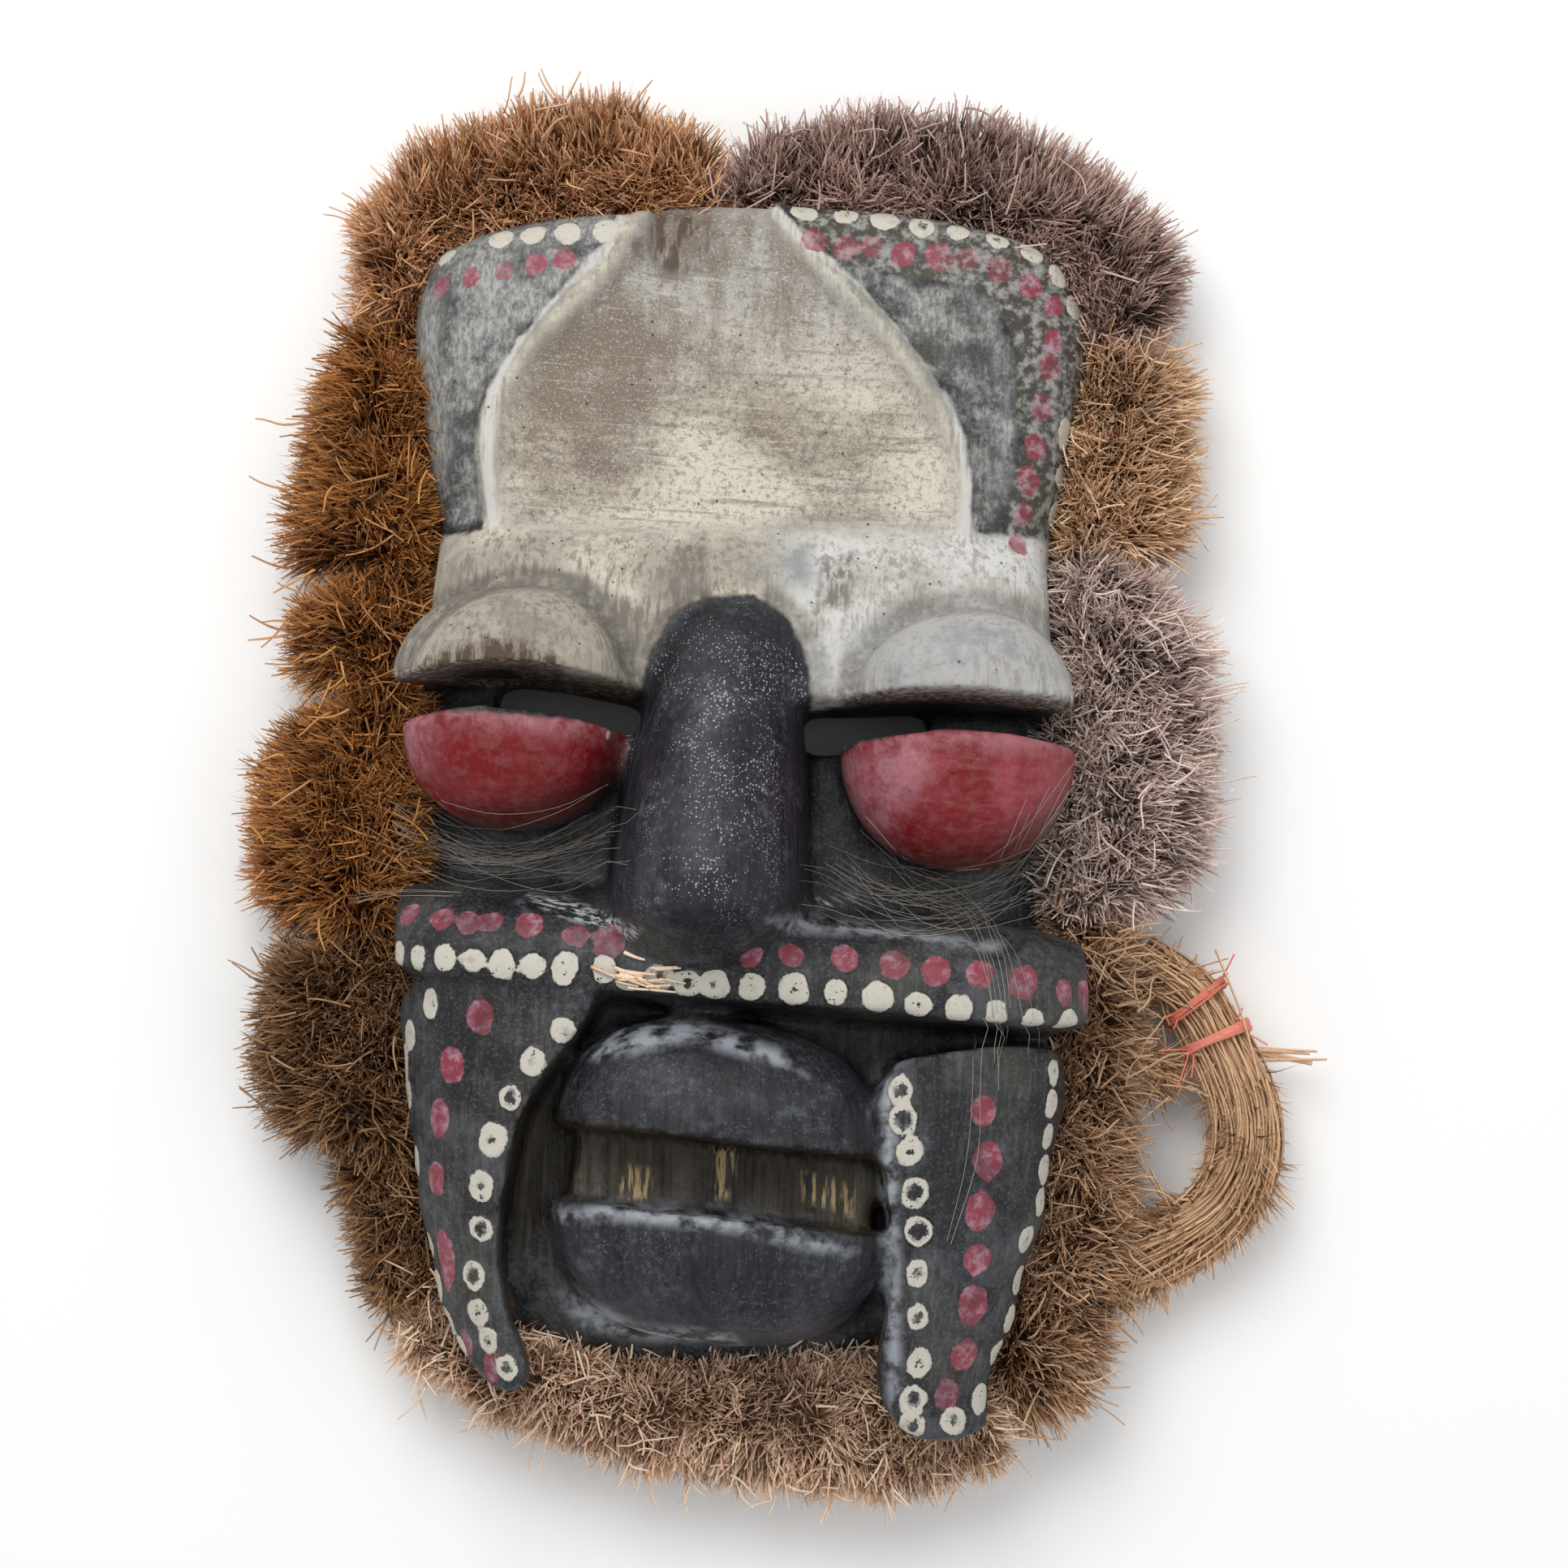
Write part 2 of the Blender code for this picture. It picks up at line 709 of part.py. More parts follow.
def carve_mask(parts, cutters, finish):
    """The whole wooden mask: shell, carved forms, then the hollow and the eye slots."""
    wood = build_shell()
    parts.objects.link(wood)
    carved = [
        tube("left_arch", arch_line(ARCH_LEFT)),
        tube("right_arch", arch_line(ARCH_RIGHT)),
        build_brow(),
        *build_eyes(),
        build_band(),
        build_nose(),
        *build_panels(cutters),
        build_teeth(),
        build_lip("upper_lip", UPPER_LIP, True),
        build_lip("lower_lip", LOWER_LIP, False),
    ]
    for form in carved:
        as_cutter(form, cutters)
        join(wood, form, "UNION")
    hollows = [
        build_hollow(),
        build_nose_hollow(),
        build_pocket("brow_pocket", BROW_POCKET),
        build_pocket("mouth_pocket", MOUTH_POCKET),
    ]
    for cutter in [*hollows, *build_slots()]:
        as_cutter(cutter, cutters)
        join(wood, cutter, "DIFFERENCE")
    wood.data.materials.append(finish)
    return wood


def rim_outline():
    """The right half of the shell's outline on the floor, from the forehead to the chin."""
    points = [(0.0, TOP_Y)]
    for y in shell_places():
        points.append((shell_section(y)[0], y))
    points.append((0.0, CHIN_Y))
    return points


def rim_point(outline, angle):
    """The point of the outline in a direction, degrees clockwise from the forehead."""
    angle %= 360.0
    left = angle > 180.0
    wanted = math.radians(360.0 - angle if left else angle)
    for (x0, y0), (x1, y1) in zip(outline, outline[1:]):
        a0 = math.atan2(x0, y0)
        a1 = math.atan2(x1, y1)
        if a0 <= wanted <= a1:
            share = (wanted - a0) / (a1 - a0) if a1 > a0 else 0.0
            x = x0 + (x1 - x0) * share
            return Vector((-x if left else x, y0 + (y1 - y0) * share, 0.0))
    return Vector((0.0, CHIN_Y, 0.0))


def rim_outward(outline, angle):
    """The level direction square to the outline, eased over a few degrees."""
    ahead = rim_point(outline, angle + HANK_EASE_DEGREES)
    behind = rim_point(outline, angle - HANK_EASE_DEGREES)
    along = (ahead - behind).normalized()
    return Vector((-along.y, along.x, 0.0))


def hank_width(share, start, middle, end):
    """How far a hank stands out from the rim at a share of its length."""
    bow = 4.0 * share * (1.0 - share)
    straight = start + (end - start) * share
    peak = middle - (start + end) / 2.0
    return (straight + peak * bow) * (1.0 - HANK_PINCH * abs(2.0 * share - 1.0) ** 5)


def hank_ring(outline, angle, width):
    """A hank's section: flat on the rim and on the floor, round outside."""
    outward = rim_outward(outline, angle)
    foot = rim_point(outline, angle) - outward * RIM_OVERLAP
    width += RIM_OVERLAP
    height = HANK_HEIGHT + HANK_HEIGHT_PER_WIDTH * width
    ring = []
    for k in range(HANK_SECTION_POINTS):
        turn = 2.0 * math.pi * (k + 0.5) / HANK_SECTION_POINTS
        across = math.copysign(abs(math.cos(turn)) ** (2.0 / HANK_SECTION_POWER), math.cos(turn))
        upward = math.copysign(abs(math.sin(turn)) ** (2.0 / HANK_SECTION_POWER), math.sin(turn))
        out = max(0.0, width * (0.42 + 0.58 * across))
        up = height * (0.5 + 0.5 * upward)
        ring.append(foot + outward * out + Vector((0.0, 0.0, up)))
    return ring


def build_rim_cutter(outline):
    """The upright outline of the wood, grown by the gap that the hanks keep from it."""
    left = [(-x, y) for x, y in reversed(outline[1:-1])]
    around = outline + left
    count = len(around)
    grown = []
    for i, (x, y) in enumerate(around):
        before = Vector(around[i - 1])
        after = Vector(around[(i + 1) % count])
        along = (after - before).normalized()
        grown.append((x - along.y * RIM_GAP, y + along.x * RIM_GAP))
    rings = []
    for z in (-WALL, PANEL_TOP_Z + WALL):
        rings.append([Vector((x, y, z)) for x, y in grown])
    return loft("rim", rings)


def build_hank(outline, name, start, end, widths):
    """One hank of the ruff, between two directions round the rim."""
    first = start + HANK_GAP_DEGREES / 2.0
    last = end - HANK_GAP_DEGREES / 2.0
    count = max(3, round((last - first) / HANK_STATION_DEGREES))
    rings = []
    for k in range(count + 1):
        share = k / count
        width = hank_width(share, *widths)
        rings.append(hank_ring(outline, first + (last - first) * share, width))
    return loft(name, rings)


def bundle_line(points):
    """A bundle's line, lifted so that it lies just clear of the floor."""
    return [
        (x, y, radius + LOOP_LIFT, radius) for x, y, radius in eased_points(points, TUBE_STEPS)
    ]


def along_line(line, share):
    """A point of a bundle's line, its level direction there and its radius."""
    at = round(share * (len(line) - 1))
    along = Vector(line[at + 1][:3]) - Vector(line[at - 1][:3])
    along.z = 0.0
    return Vector(line[at][:3]), along.normalized(), line[at][3]


def build_tie(name, line, share):
    """A ring of thread round the bundle."""
    here, along, radius = along_line(line, share)
    mesh = bpy.data.meshes.new(name)
    shape = bmesh.new()
    middle = radius + TIE_CLEARANCE + TIE_THREAD
    section = []
    for k in range(TIE_SIDES):
        turn = 2.0 * math.pi * k / TIE_SIDES
        out = middle + TIE_THREAD * math.cos(turn)
        section.append(shape.verts.new((out, 0.0, 2.0 * TIE_THREAD * math.sin(turn))))
    edges = [shape.edges.new((section[k - 1], section[k])) for k in range(TIE_SIDES)]
    bmesh.ops.spin(
        shape,
        geom=section + edges,
        cent=(0.0, 0.0, 0.0),
        axis=(0.0, 0.0, 1.0),
        angle=2.0 * math.pi,
        steps=TIE_STEPS,
    )
    bmesh.ops.remove_doubles(shape, verts=shape.verts, dist=0.00005)
    bmesh.ops.recalc_face_normals(shape, faces=shape.faces)
    shape.to_mesh(mesh)
    shape.free()
    tie = bpy.data.objects.new(name, mesh)
    tie.location = here
    tie.rotation_euler = along.to_track_quat("Z", "Y").to_euler()
    return tie


def build_stalk(line):
    """The stiff end of a stalk that stands out sideways from the bundle."""
    mesh = bpy.data.meshes.new("raffia_stalk")
    shape = bmesh.new()
    bmesh.ops.create_cone(
        shape,
        cap_ends=True,
        segments=8,
        radius1=STALK_RADIUS,
        radius2=STALK_TIP_RADIUS,
        depth=STALK_LENGTH,
    )
    lying = Matrix.Rotation(math.radians(90.0), 4, "Y")
    half_way = Matrix.Translation((STALK_LENGTH / 2.0, 0.0, 0.0))
    bmesh.ops.transform(shape, matrix=half_way @ lying, verts=shape.verts)
    shape.to_mesh(mesh)
    shape.free()
    here, along, radius = along_line(line, STALK_AT)
    outward = Vector((-along.y, along.x, 0.0))
    stalk = bpy.data.objects.new("raffia_stalk", mesh)
    stalk.location = here + outward * (radius + STALK_RADIUS + STALK_GAP)
    stalk.rotation_euler.z = STALK_TURN
    return stalk


def add_part(parts, obj, finish):
    """Put a finished piece among the parts."""
    parts.objects.link(obj)
    obj.data.materials.append(finish)


def build_ruff(parts, cutters, finishes):
    """All hanks of the ruff, the loop at the right jaw, its ties and its stalk."""
    outline = rim_outline()
    rim = build_rim_cutter(outline)
    as_cutter(rim, cutters)
    loop_line = bundle_line(LOOP_POINTS)
    for name, start, end, at_start, in_middle, at_end, colour in HANKS:
        hank = build_hank(outline, name, start, end, (at_start, in_middle, at_end))
        if name == LOOP_HANK:
            for bundle, line in (("loop", loop_line), ("strand", bundle_line(STRAND_POINTS))):
                strand = tube(bundle, line)
                as_cutter(strand, cutters)
                join(hank, strand, "UNION")
        join(hank, rim, "DIFFERENCE")
        add_part(parts, hank, finishes[colour])
    for name, share in TIE_AT.items():
        add_part(parts, build_tie(name, loop_line, share), finishes["thread"])
    add_part(parts, build_stalk(loop_line), finishes[STRAW])


def stand_on_origin(parts, cutters):
    """Move everything so that the origin is under the middle of the whole object, on the floor."""
    holder = bpy.data.objects.new("mask", None)
    parts.objects.link(holder)
    pieces = [obj for obj in parts.objects if obj is not holder]
    bpy.context.view_layer.update()
    graph = bpy.context.evaluated_depsgraph_get()
    corners = []
    for obj in pieces:
        shown = obj.evaluated_get(graph)
        mesh = shown.to_mesh()
        corners += [shown.matrix_world @ vert.co for vert in mesh.vertices]
        shown.to_mesh_clear()
    low = [min(corner[axis] for corner in corners) for axis in range(3)]
    high = [max(corner[axis] for corner in corners) for axis in range(3)]
    holder.location = (-(low[0] + high[0]) / 2.0, -(low[1] + high[1]) / 2.0, -low[2])
    for obj in [*pieces, *cutters.objects]:
        obj.parent = holder


def shade(parts):
    """Smooth shading with the carved edges kept sharp."""
    for obj in parts.objects:
        if obj.type == "MESH":
            obj.data.shade_smooth()
            obj.data.set_sharp_from_angle(angle=math.radians(32.0))


def main():
    """Build the mask and its ruff."""
    clear_scene()
    parts = new_collection("raffia_mask")
    cutters = new_collection("cutters")
    finishes = {
        GOLDEN: material("golden raffia", GOLDEN, 0.8),
        DARK_BROWN: material("dark raffia", DARK_BROWN, 0.8),
        STRAW: material("straw raffia", STRAW, 0.75),
        GREY_BROWN: material("grey raffia", GREY_BROWN, 0.8),
        "thread": material("red thread", (0.70, 0.09, 0.06), 0.6),
    }
    carve_mask(parts, cutters, material("painted wood", (0.24, 0.22, 0.20), 0.7))
    build_ruff(parts, cutters, finishes)
    shade(parts)
    stand_on_origin(parts, cutters)


main()
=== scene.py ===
"""A carved and painted wooden face mask with a clipped raffia ruff, lying on a pale floor.

The carved wood is one piece. Its finer carving is a mesh that keeps the form of the solid, and its
paint is worn over black, cream and red. The ruff is eleven hanks of stiff fibre. Sizes are in metres.
Places read from the photograph are in its own pixels, in a frame of 1932 by 1932.
"""

import json
import logging
import math
from dataclasses import dataclass, field
from enum import Enum

import bmesh
import bpy
import numpy as np
from mathutils import Matrix, Vector, noise
from mathutils.bvhtree import BVHTree
from mathutils.kdtree import KDTree

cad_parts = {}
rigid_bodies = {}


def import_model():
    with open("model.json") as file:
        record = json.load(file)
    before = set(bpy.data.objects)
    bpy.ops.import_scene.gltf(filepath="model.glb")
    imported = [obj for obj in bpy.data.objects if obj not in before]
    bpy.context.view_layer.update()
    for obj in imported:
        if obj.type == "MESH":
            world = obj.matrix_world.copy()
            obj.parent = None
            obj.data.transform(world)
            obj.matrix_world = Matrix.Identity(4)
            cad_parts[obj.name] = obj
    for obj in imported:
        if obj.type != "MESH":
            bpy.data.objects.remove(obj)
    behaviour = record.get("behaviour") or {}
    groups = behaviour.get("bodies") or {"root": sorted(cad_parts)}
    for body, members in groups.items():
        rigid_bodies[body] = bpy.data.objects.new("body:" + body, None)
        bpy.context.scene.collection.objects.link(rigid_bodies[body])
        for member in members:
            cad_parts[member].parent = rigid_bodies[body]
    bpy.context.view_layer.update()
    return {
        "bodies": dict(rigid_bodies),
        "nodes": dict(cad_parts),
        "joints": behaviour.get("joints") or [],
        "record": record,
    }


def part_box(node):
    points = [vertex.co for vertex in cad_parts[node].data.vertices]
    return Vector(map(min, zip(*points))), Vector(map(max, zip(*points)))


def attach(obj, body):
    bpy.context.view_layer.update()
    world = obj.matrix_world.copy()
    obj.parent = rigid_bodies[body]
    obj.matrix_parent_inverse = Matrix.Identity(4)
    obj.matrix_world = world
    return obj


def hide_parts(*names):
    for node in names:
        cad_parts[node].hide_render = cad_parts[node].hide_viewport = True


LOG = logging.getLogger("mask")

BODY = "root"
WOOD_NODE = "mask_wood"
LOOP_NODE = "raffia_jaw_right"

# The wood's own right-hand reach and top end, in the coordinates in which its forms are given
WOOD_REACH_X = 0.1165
WOOD_REACH_Y = 0.1964

# How far above the floor the fibres and the longer strands are kept
FIBRE_FLOOR = 0.0007
STRAND_FLOOR = 0.0008

Colour = tuple[float, float, float]
Place = tuple[float, float, float]
Pixel = tuple[float, float]
Output = bpy.types.NodeSocket


# Small geometry helpers


def smooth_line(points: np.ndarray, count: int) -> np.ndarray:
    """Resample a line through its points on a smooth curve, evenly by length.

    Args:
        points: The points that the line passes through, one row each.
        count: How many points to return.

    Returns:
        The resampled points, one row each.
    """
    points = np.asarray(points, float)
    padded = np.vstack([2 * points[0] - points[1], points, 2 * points[-1] - points[-2]])
    steps = np.linspace(0, 1, 16, endpoint=False)[:, None]
    pieces = []
    for before, start, end, after in zip(padded, padded[1:], padded[2:], padded[3:]):
        bend = 2 * before - 5 * start + 4 * end - after
        twist = 3 * (start - end) + after - before
        pieces.append(0.5 * (2 * start + (end - before) * steps + bend * steps**2 + twist * steps**3))
    line = np.vstack([*pieces, points[-1:]])
    lengths = np.concatenate([[0], np.cumsum(np.linalg.norm(np.diff(line, axis=0), axis=1))])
    wanted = np.linspace(0, lengths[-1], count)
    return np.column_stack([np.interp(wanted, lengths, line[:, axis]) for axis in range(line.shape[1])])


def distance_inside(points: np.ndarray, outline: np.ndarray) -> np.ndarray:
    """Measure how deep points lie inside a closed outline.

    Args:
        points: The points in the plane, one row each.
        outline: The outline's corners, in order.

    Returns:
        The distance to the outline, positive inside it and negative outside.
    """
    nearest = np.full(len(points), np.inf)
    inside = np.zeros(len(points), bool)
    x, y = points[:, 0], points[:, 1]
    for start, end in zip(outline, np.roll(outline, -1, axis=0)):
        side = end - start
        share = np.clip(((points - start) @ side) / max(side @ side, 1e-12), 0, 1)
        nearest = np.minimum(nearest, np.linalg.norm(points - start - share[:, None] * side, axis=1))
        crosses = (start[1] > y) != (end[1] > y)
        rise = end[1] - start[1] if abs(end[1] - start[1]) > 1e-12 else 1e-12
        inside ^= crosses & (x < start[0] + (y - start[1]) / rise * side[0])
    return np.where(inside, nearest, -nearest)


def smooth_step(values: np.ndarray, low: float, high: float) -> np.ndarray:
    """Ease values from 0 at low to 1 at high."""
    share = np.clip((values - low) / (high - low), 0, 1)
    return share * share * (3 - 2 * share)


def mesh_points(mesh: bpy.types.Mesh) -> np.ndarray:
    """Read a mesh's vertices as rows of three numbers."""
    values = np.zeros(len(mesh.vertices) * 3, np.float32)
    mesh.vertices.foreach_get("co", values)
    return values.reshape(-1, 3).astype(float)


def mesh_normals(mesh: bpy.types.Mesh) -> np.ndarray:
    """Read a mesh's vertex normals as rows of three numbers."""
    values = np.zeros(len(mesh.vertices) * 3, np.float32)
    mesh.vertex_normals.foreach_get("vector", values)
    return values.reshape(-1, 3).astype(float)


def move_points(mesh: bpy.types.Mesh, points: np.ndarray) -> None:
    """Write a mesh's vertices from rows of three numbers."""
    mesh.vertices.foreach_set("co", points.astype(np.float32).ravel())
    mesh.update()


def store(mesh: bpy.types.Mesh, name: str, values: np.ndarray) -> None:
    """Keep a number or a vector for each vertex under a name.

    Args:
        mesh: The mesh that gets the attribute.
        name: The attribute's name.
        values: One number, or one row of three, for each vertex.
    """
    is_vector = values.ndim == 2
    layer = mesh.attributes.new(name, "FLOAT_VECTOR" if is_vector else "FLOAT", "POINT")
    layer.data.foreach_set("vector" if is_vector else "value", values.astype(np.float32).ravel())


def merged_copy(node: bpy.types.Object, name: str) -> bpy.types.Mesh:
    """Copy a solid's mesh with its loose triangles joined."""
    mesh = node.data.copy()
    mesh.name = name
    builder = bmesh.new()
    builder.from_mesh(mesh)
    bmesh.ops.remove_doubles(builder, verts=builder.verts, dist=1e-6)
    builder.to_mesh(mesh)
    builder.free()
    return mesh


def add_object(name: str, mesh: bpy.types.Mesh) -> bpy.types.Object:
    """Put a mesh in the scene as an object at the origin."""
    piece = bpy.data.objects.new(name, mesh)
    bpy.context.scene.collection.objects.link(piece)
    return piece


def baked_mesh(piece: bpy.types.Object) -> bpy.types.Mesh:
    """Turn an object with its modifiers into a plain mesh.

    Args:
        piece: The object, whose modifiers are removed.

    Returns:
        The new mesh, which the object also uses.
    """
    graph = bpy.context.evaluated_depsgraph_get()
    mesh = bpy.data.meshes.new_from_object(
        piece.evaluated_get(graph), preserve_all_data_layers=True, depsgraph=graph
    )
    piece.modifiers.clear()
    piece.data = mesh
    mesh.name = piece.name
    return mesh


@dataclass
class Strands:
    """A bunch of strands: each one's line, its radius at each point, and its shade."""

    lines: list[np.ndarray] = field(default_factory=list)
    girths: list[np.ndarray] = field(default_factory=list)
    tones: list[float] = field(default_factory=list)

    def add(self, path: np.ndarray, girth: np.ndarray | float, tone: float) -> None:
        """Add a strand.

        Args:
            path: Its points, one row each.
            girth: Its radius, at each point or all along.
            tone: Its shade, from 0 to 1.
        """
        self.lines.append(path)
        self.girths.append(np.broadcast_to(girth, len(path)))
        self.tones.append(float(tone))

    def mesh(self, name: str) -> bpy.types.Mesh:
        """Make bare lines of edges, with the attributes girth and tone.

        Args:
            name: The mesh's name.

        Returns:
            The mesh, which a tree later gives its thickness.
        """
        edges = []
        start = 0
        for line in self.lines:
            edges += [(start + step, start + step + 1) for step in range(len(line) - 1)]
            start += len(line)
        mesh = bpy.data.meshes.new(name)
        mesh.from_pydata(np.vstack(self.lines).tolist(), edges, [])
        store(mesh, "girth", np.concatenate(self.girths))
        shades = [np.full(len(line), tone) for line, tone in zip(self.lines, self.tones)]
        store(mesh, "tone", np.concatenate(shades))
        return mesh


# Node trees


class Nodes:
    """Adds nodes to one tree and links them, so that a network reads as plain steps."""

    def __init__(self, tree: bpy.types.NodeTree) -> None:
        """Start work on a tree."""
        self.tree = tree

    def add(self, kind: str, inputs: dict | None = None, **settings: object) -> bpy.types.Node:
        """Add a node.

        Args:
            kind: The node's type name.
            inputs: Values or sockets by input name or number.
            **settings: The node's own properties.

        Returns:
            The new node.
        """
        node = self.tree.nodes.new(kind)
        for name, value in settings.items():
            setattr(node, name, value)
        for key, value in (inputs or {}).items():
            self.feed(self.socket(node, key), value)
        return node

    def socket(self, node: bpy.types.Node, key: str | int) -> Output:
        """Find an input by its number, its identifier or its name."""
        if isinstance(key, int):
            return node.inputs[key]
        for socket in node.inputs:
            if socket.identifier == key:
                return socket
        return node.inputs[key]

    def feed(self, socket: Output, value: object) -> None:
        """Link an output to an input, or set the input's value."""
        if isinstance(value, Output):
            self.tree.links.new(value, socket)
        elif socket.type == "RGBA" and len(value) == 3:
            socket.default_value = (*value, 1.0)
        else:
            socket.default_value = value

    def math(self, operation: str, first: object, second: object = 0.0) -> Output:
        """Add a Math node and return its value."""
        return self.add("ShaderNodeMath", {0: first, 1: second}, operation=operation).outputs[0]

    def times(self, first: object, second: object) -> Output:
        """Multiply two numbers."""
        return self.math("MULTIPLY", first, second)

    def plus(self, first: object, second: object) -> Output:
        """Add two numbers."""
        return self.math("ADD", first, second)

    def minus(self, first: object, second: object) -> Output:
        """Take the second number from the first."""
        return self.math("SUBTRACT", first, second)

    def larger(self, first: object, second: object) -> Output:
        """Pick the larger of two numbers."""
        return self.math("MAXIMUM", first, second)

    def blend(self, *parts: tuple[object, float]) -> Output:
        """Add numbers up, each multiplied by its share."""
        total = self.times(*parts[0])
        for value, share in parts[1:]:
            total = self.plus(total, self.times(value, share))
        return total

    def vector(self, operation: str, first: object, second: object = (0, 0, 0)) -> Output:
        """Add a Vector Math node and return its vector."""
        return self.add("ShaderNodeVectorMath", {0: first, 1: second}, operation=operation).outputs[0]

    def scaled(self, vector: object, factor: object) -> Output:
        """Multiply a vector by a number."""
        return self.add(
            "ShaderNodeVectorMath", {0: vector, "Scale": factor}, operation="SCALE"
        ).outputs[0]

    def ramp(
        self, value: object, low: object, high: object, start: float = 0.0, end: float = 1.0
    ) -> Output:
        """Ease a value from start at low to end at high."""
        node = self.add(
            "ShaderNodeMapRange",
            {"Value": value, "From Min": low, "From Max": high, "To Min": start, "To Max": end},
            interpolation_type="SMOOTHSTEP",
        )
        return node.outputs[0]

    def mix(self, factor: object, first: object, second: object, blend: str = "MIX") -> Output:
        """Mix two colours."""
        node = self.add(
            "ShaderNodeMix",
            {"Factor_Float": factor, "A_Color": first, "B_Color": second},
            data_type="RGBA",
            blend_type=blend,
        )
        return node.outputs[2]

    def mix_value(self, factor: object, first: object, second: object) -> Output:
        """Mix two numbers."""
        node = self.add("ShaderNodeMix", {"Factor_Float": factor, "A_Float": first, "B_Float": second})
        return node.outputs[0]

    def noise(
        self, vector: object, scale: object, detail: float = 3.0, rough: float = 0.55, warp: float = 0.0
    ) -> Output:
        """Add a noise texture and return its value."""
        inputs = {
            "Vector": vector, "Scale": scale, "Detail": detail, "Roughness": rough, "Distortion": warp
        }
        return self.add("ShaderNodeTexNoise", inputs).outputs[0]

    def lines(
        self,
        vector: object,
        stretch: Place,
        scale: float,
        detail: float = 3.0,
        rough: float = 0.55,
        warp: float = 0.0,
    ) -> Output:
        """Add a noise whose pattern runs along the axis that the stretch makes small."""
        return self.noise(self.vector("MULTIPLY", vector, stretch), scale, detail, rough, warp)

    def attribute(self, name: str) -> Output:
        """Read a number kept on the mesh."""
        return self.add("ShaderNodeAttribute", attribute_name=name).outputs["Fac"]

    def zone(self, name: str, low: float, high: float, start: float = 0.0, end: float = 1.0) -> Output:
        """Ease a number kept on the mesh from start at low to end at high."""
        return self.ramp(self.attribute(name), low, high, start, end)

    def group(self, tree: bpy.types.NodeTree, **inputs: object) -> bpy.types.Node:
        """Add a group of nodes, with its inputs by name (a space is written as _)."""
        kind = "ShaderNodeGroup" if tree.bl_idname == "ShaderNodeTree" else "GeometryNodeGroup"
        node = self.tree.nodes.new(kind)
        node.node_tree = tree
        for name, value in inputs.items():
            self.feed(node.inputs[name.replace("_", " ")], value)
        return node


class Socket(Enum):
    """The kinds of socket that a group or a tree has."""

    NUMBER = "NodeSocketFloat"
    WHOLE = "NodeSocketInt"
    VECTOR = "NodeSocketVector"
    COLOUR = "NodeSocketColor"
    GEOMETRY = "NodeSocketGeometry"
    MATERIAL = "NodeSocketMaterial"


def new_tree(
    name: str, kind: str, inputs: dict[str, Socket], outputs: dict[str, Socket]
) -> tuple[Nodes, dict, bpy.types.Node]:
    """Start a node group with named inputs and outputs.

    Args:
        name: The group's name.
        kind: The tree's type name.
        inputs: The inputs' kinds by name.
        outputs: The outputs' kinds by name.

    Returns:
        The tree's helper, its input sockets by name, and its output node.
    """
    tree = bpy.data.node_groups.new(name, kind)
    for label, socket in inputs.items():
        tree.interface.new_socket(label, in_out="INPUT", socket_type=socket.value)
    for label, socket in outputs.items():
        tree.interface.new_socket(label, in_out="OUTPUT", socket_type=socket.value)
    start = tree.nodes.new("NodeGroupInput")
    end = tree.nodes.new("NodeGroupOutput")
    return Nodes(tree), {label: start.outputs[label] for label in inputs}, end


def run_tree(piece: bpy.types.Object, tree: bpy.types.NodeTree, **inputs: object) -> bpy.types.Mesh:
    """Run a geometry tree on an object and keep the result as a plain mesh.

    Args:
        piece: The object that the tree reads.
        tree: The geometry tree.
        **inputs: The tree's inputs by name (a space is written as _).

    Returns:
        The resulting mesh, which the object then uses.
    """
    modifier = piece.modifiers.new(tree.name, "NODES")
    modifier.node_group = tree
    identifiers = {
        item.name: item.identifier for item in tree.interface.items_tree if item.in_out == "INPUT"
    }
    for name, value in inputs.items():
        modifier[identifiers[name.replace("_", " ")]] = value
    return baked_mesh(piece)


# Shared shader effects


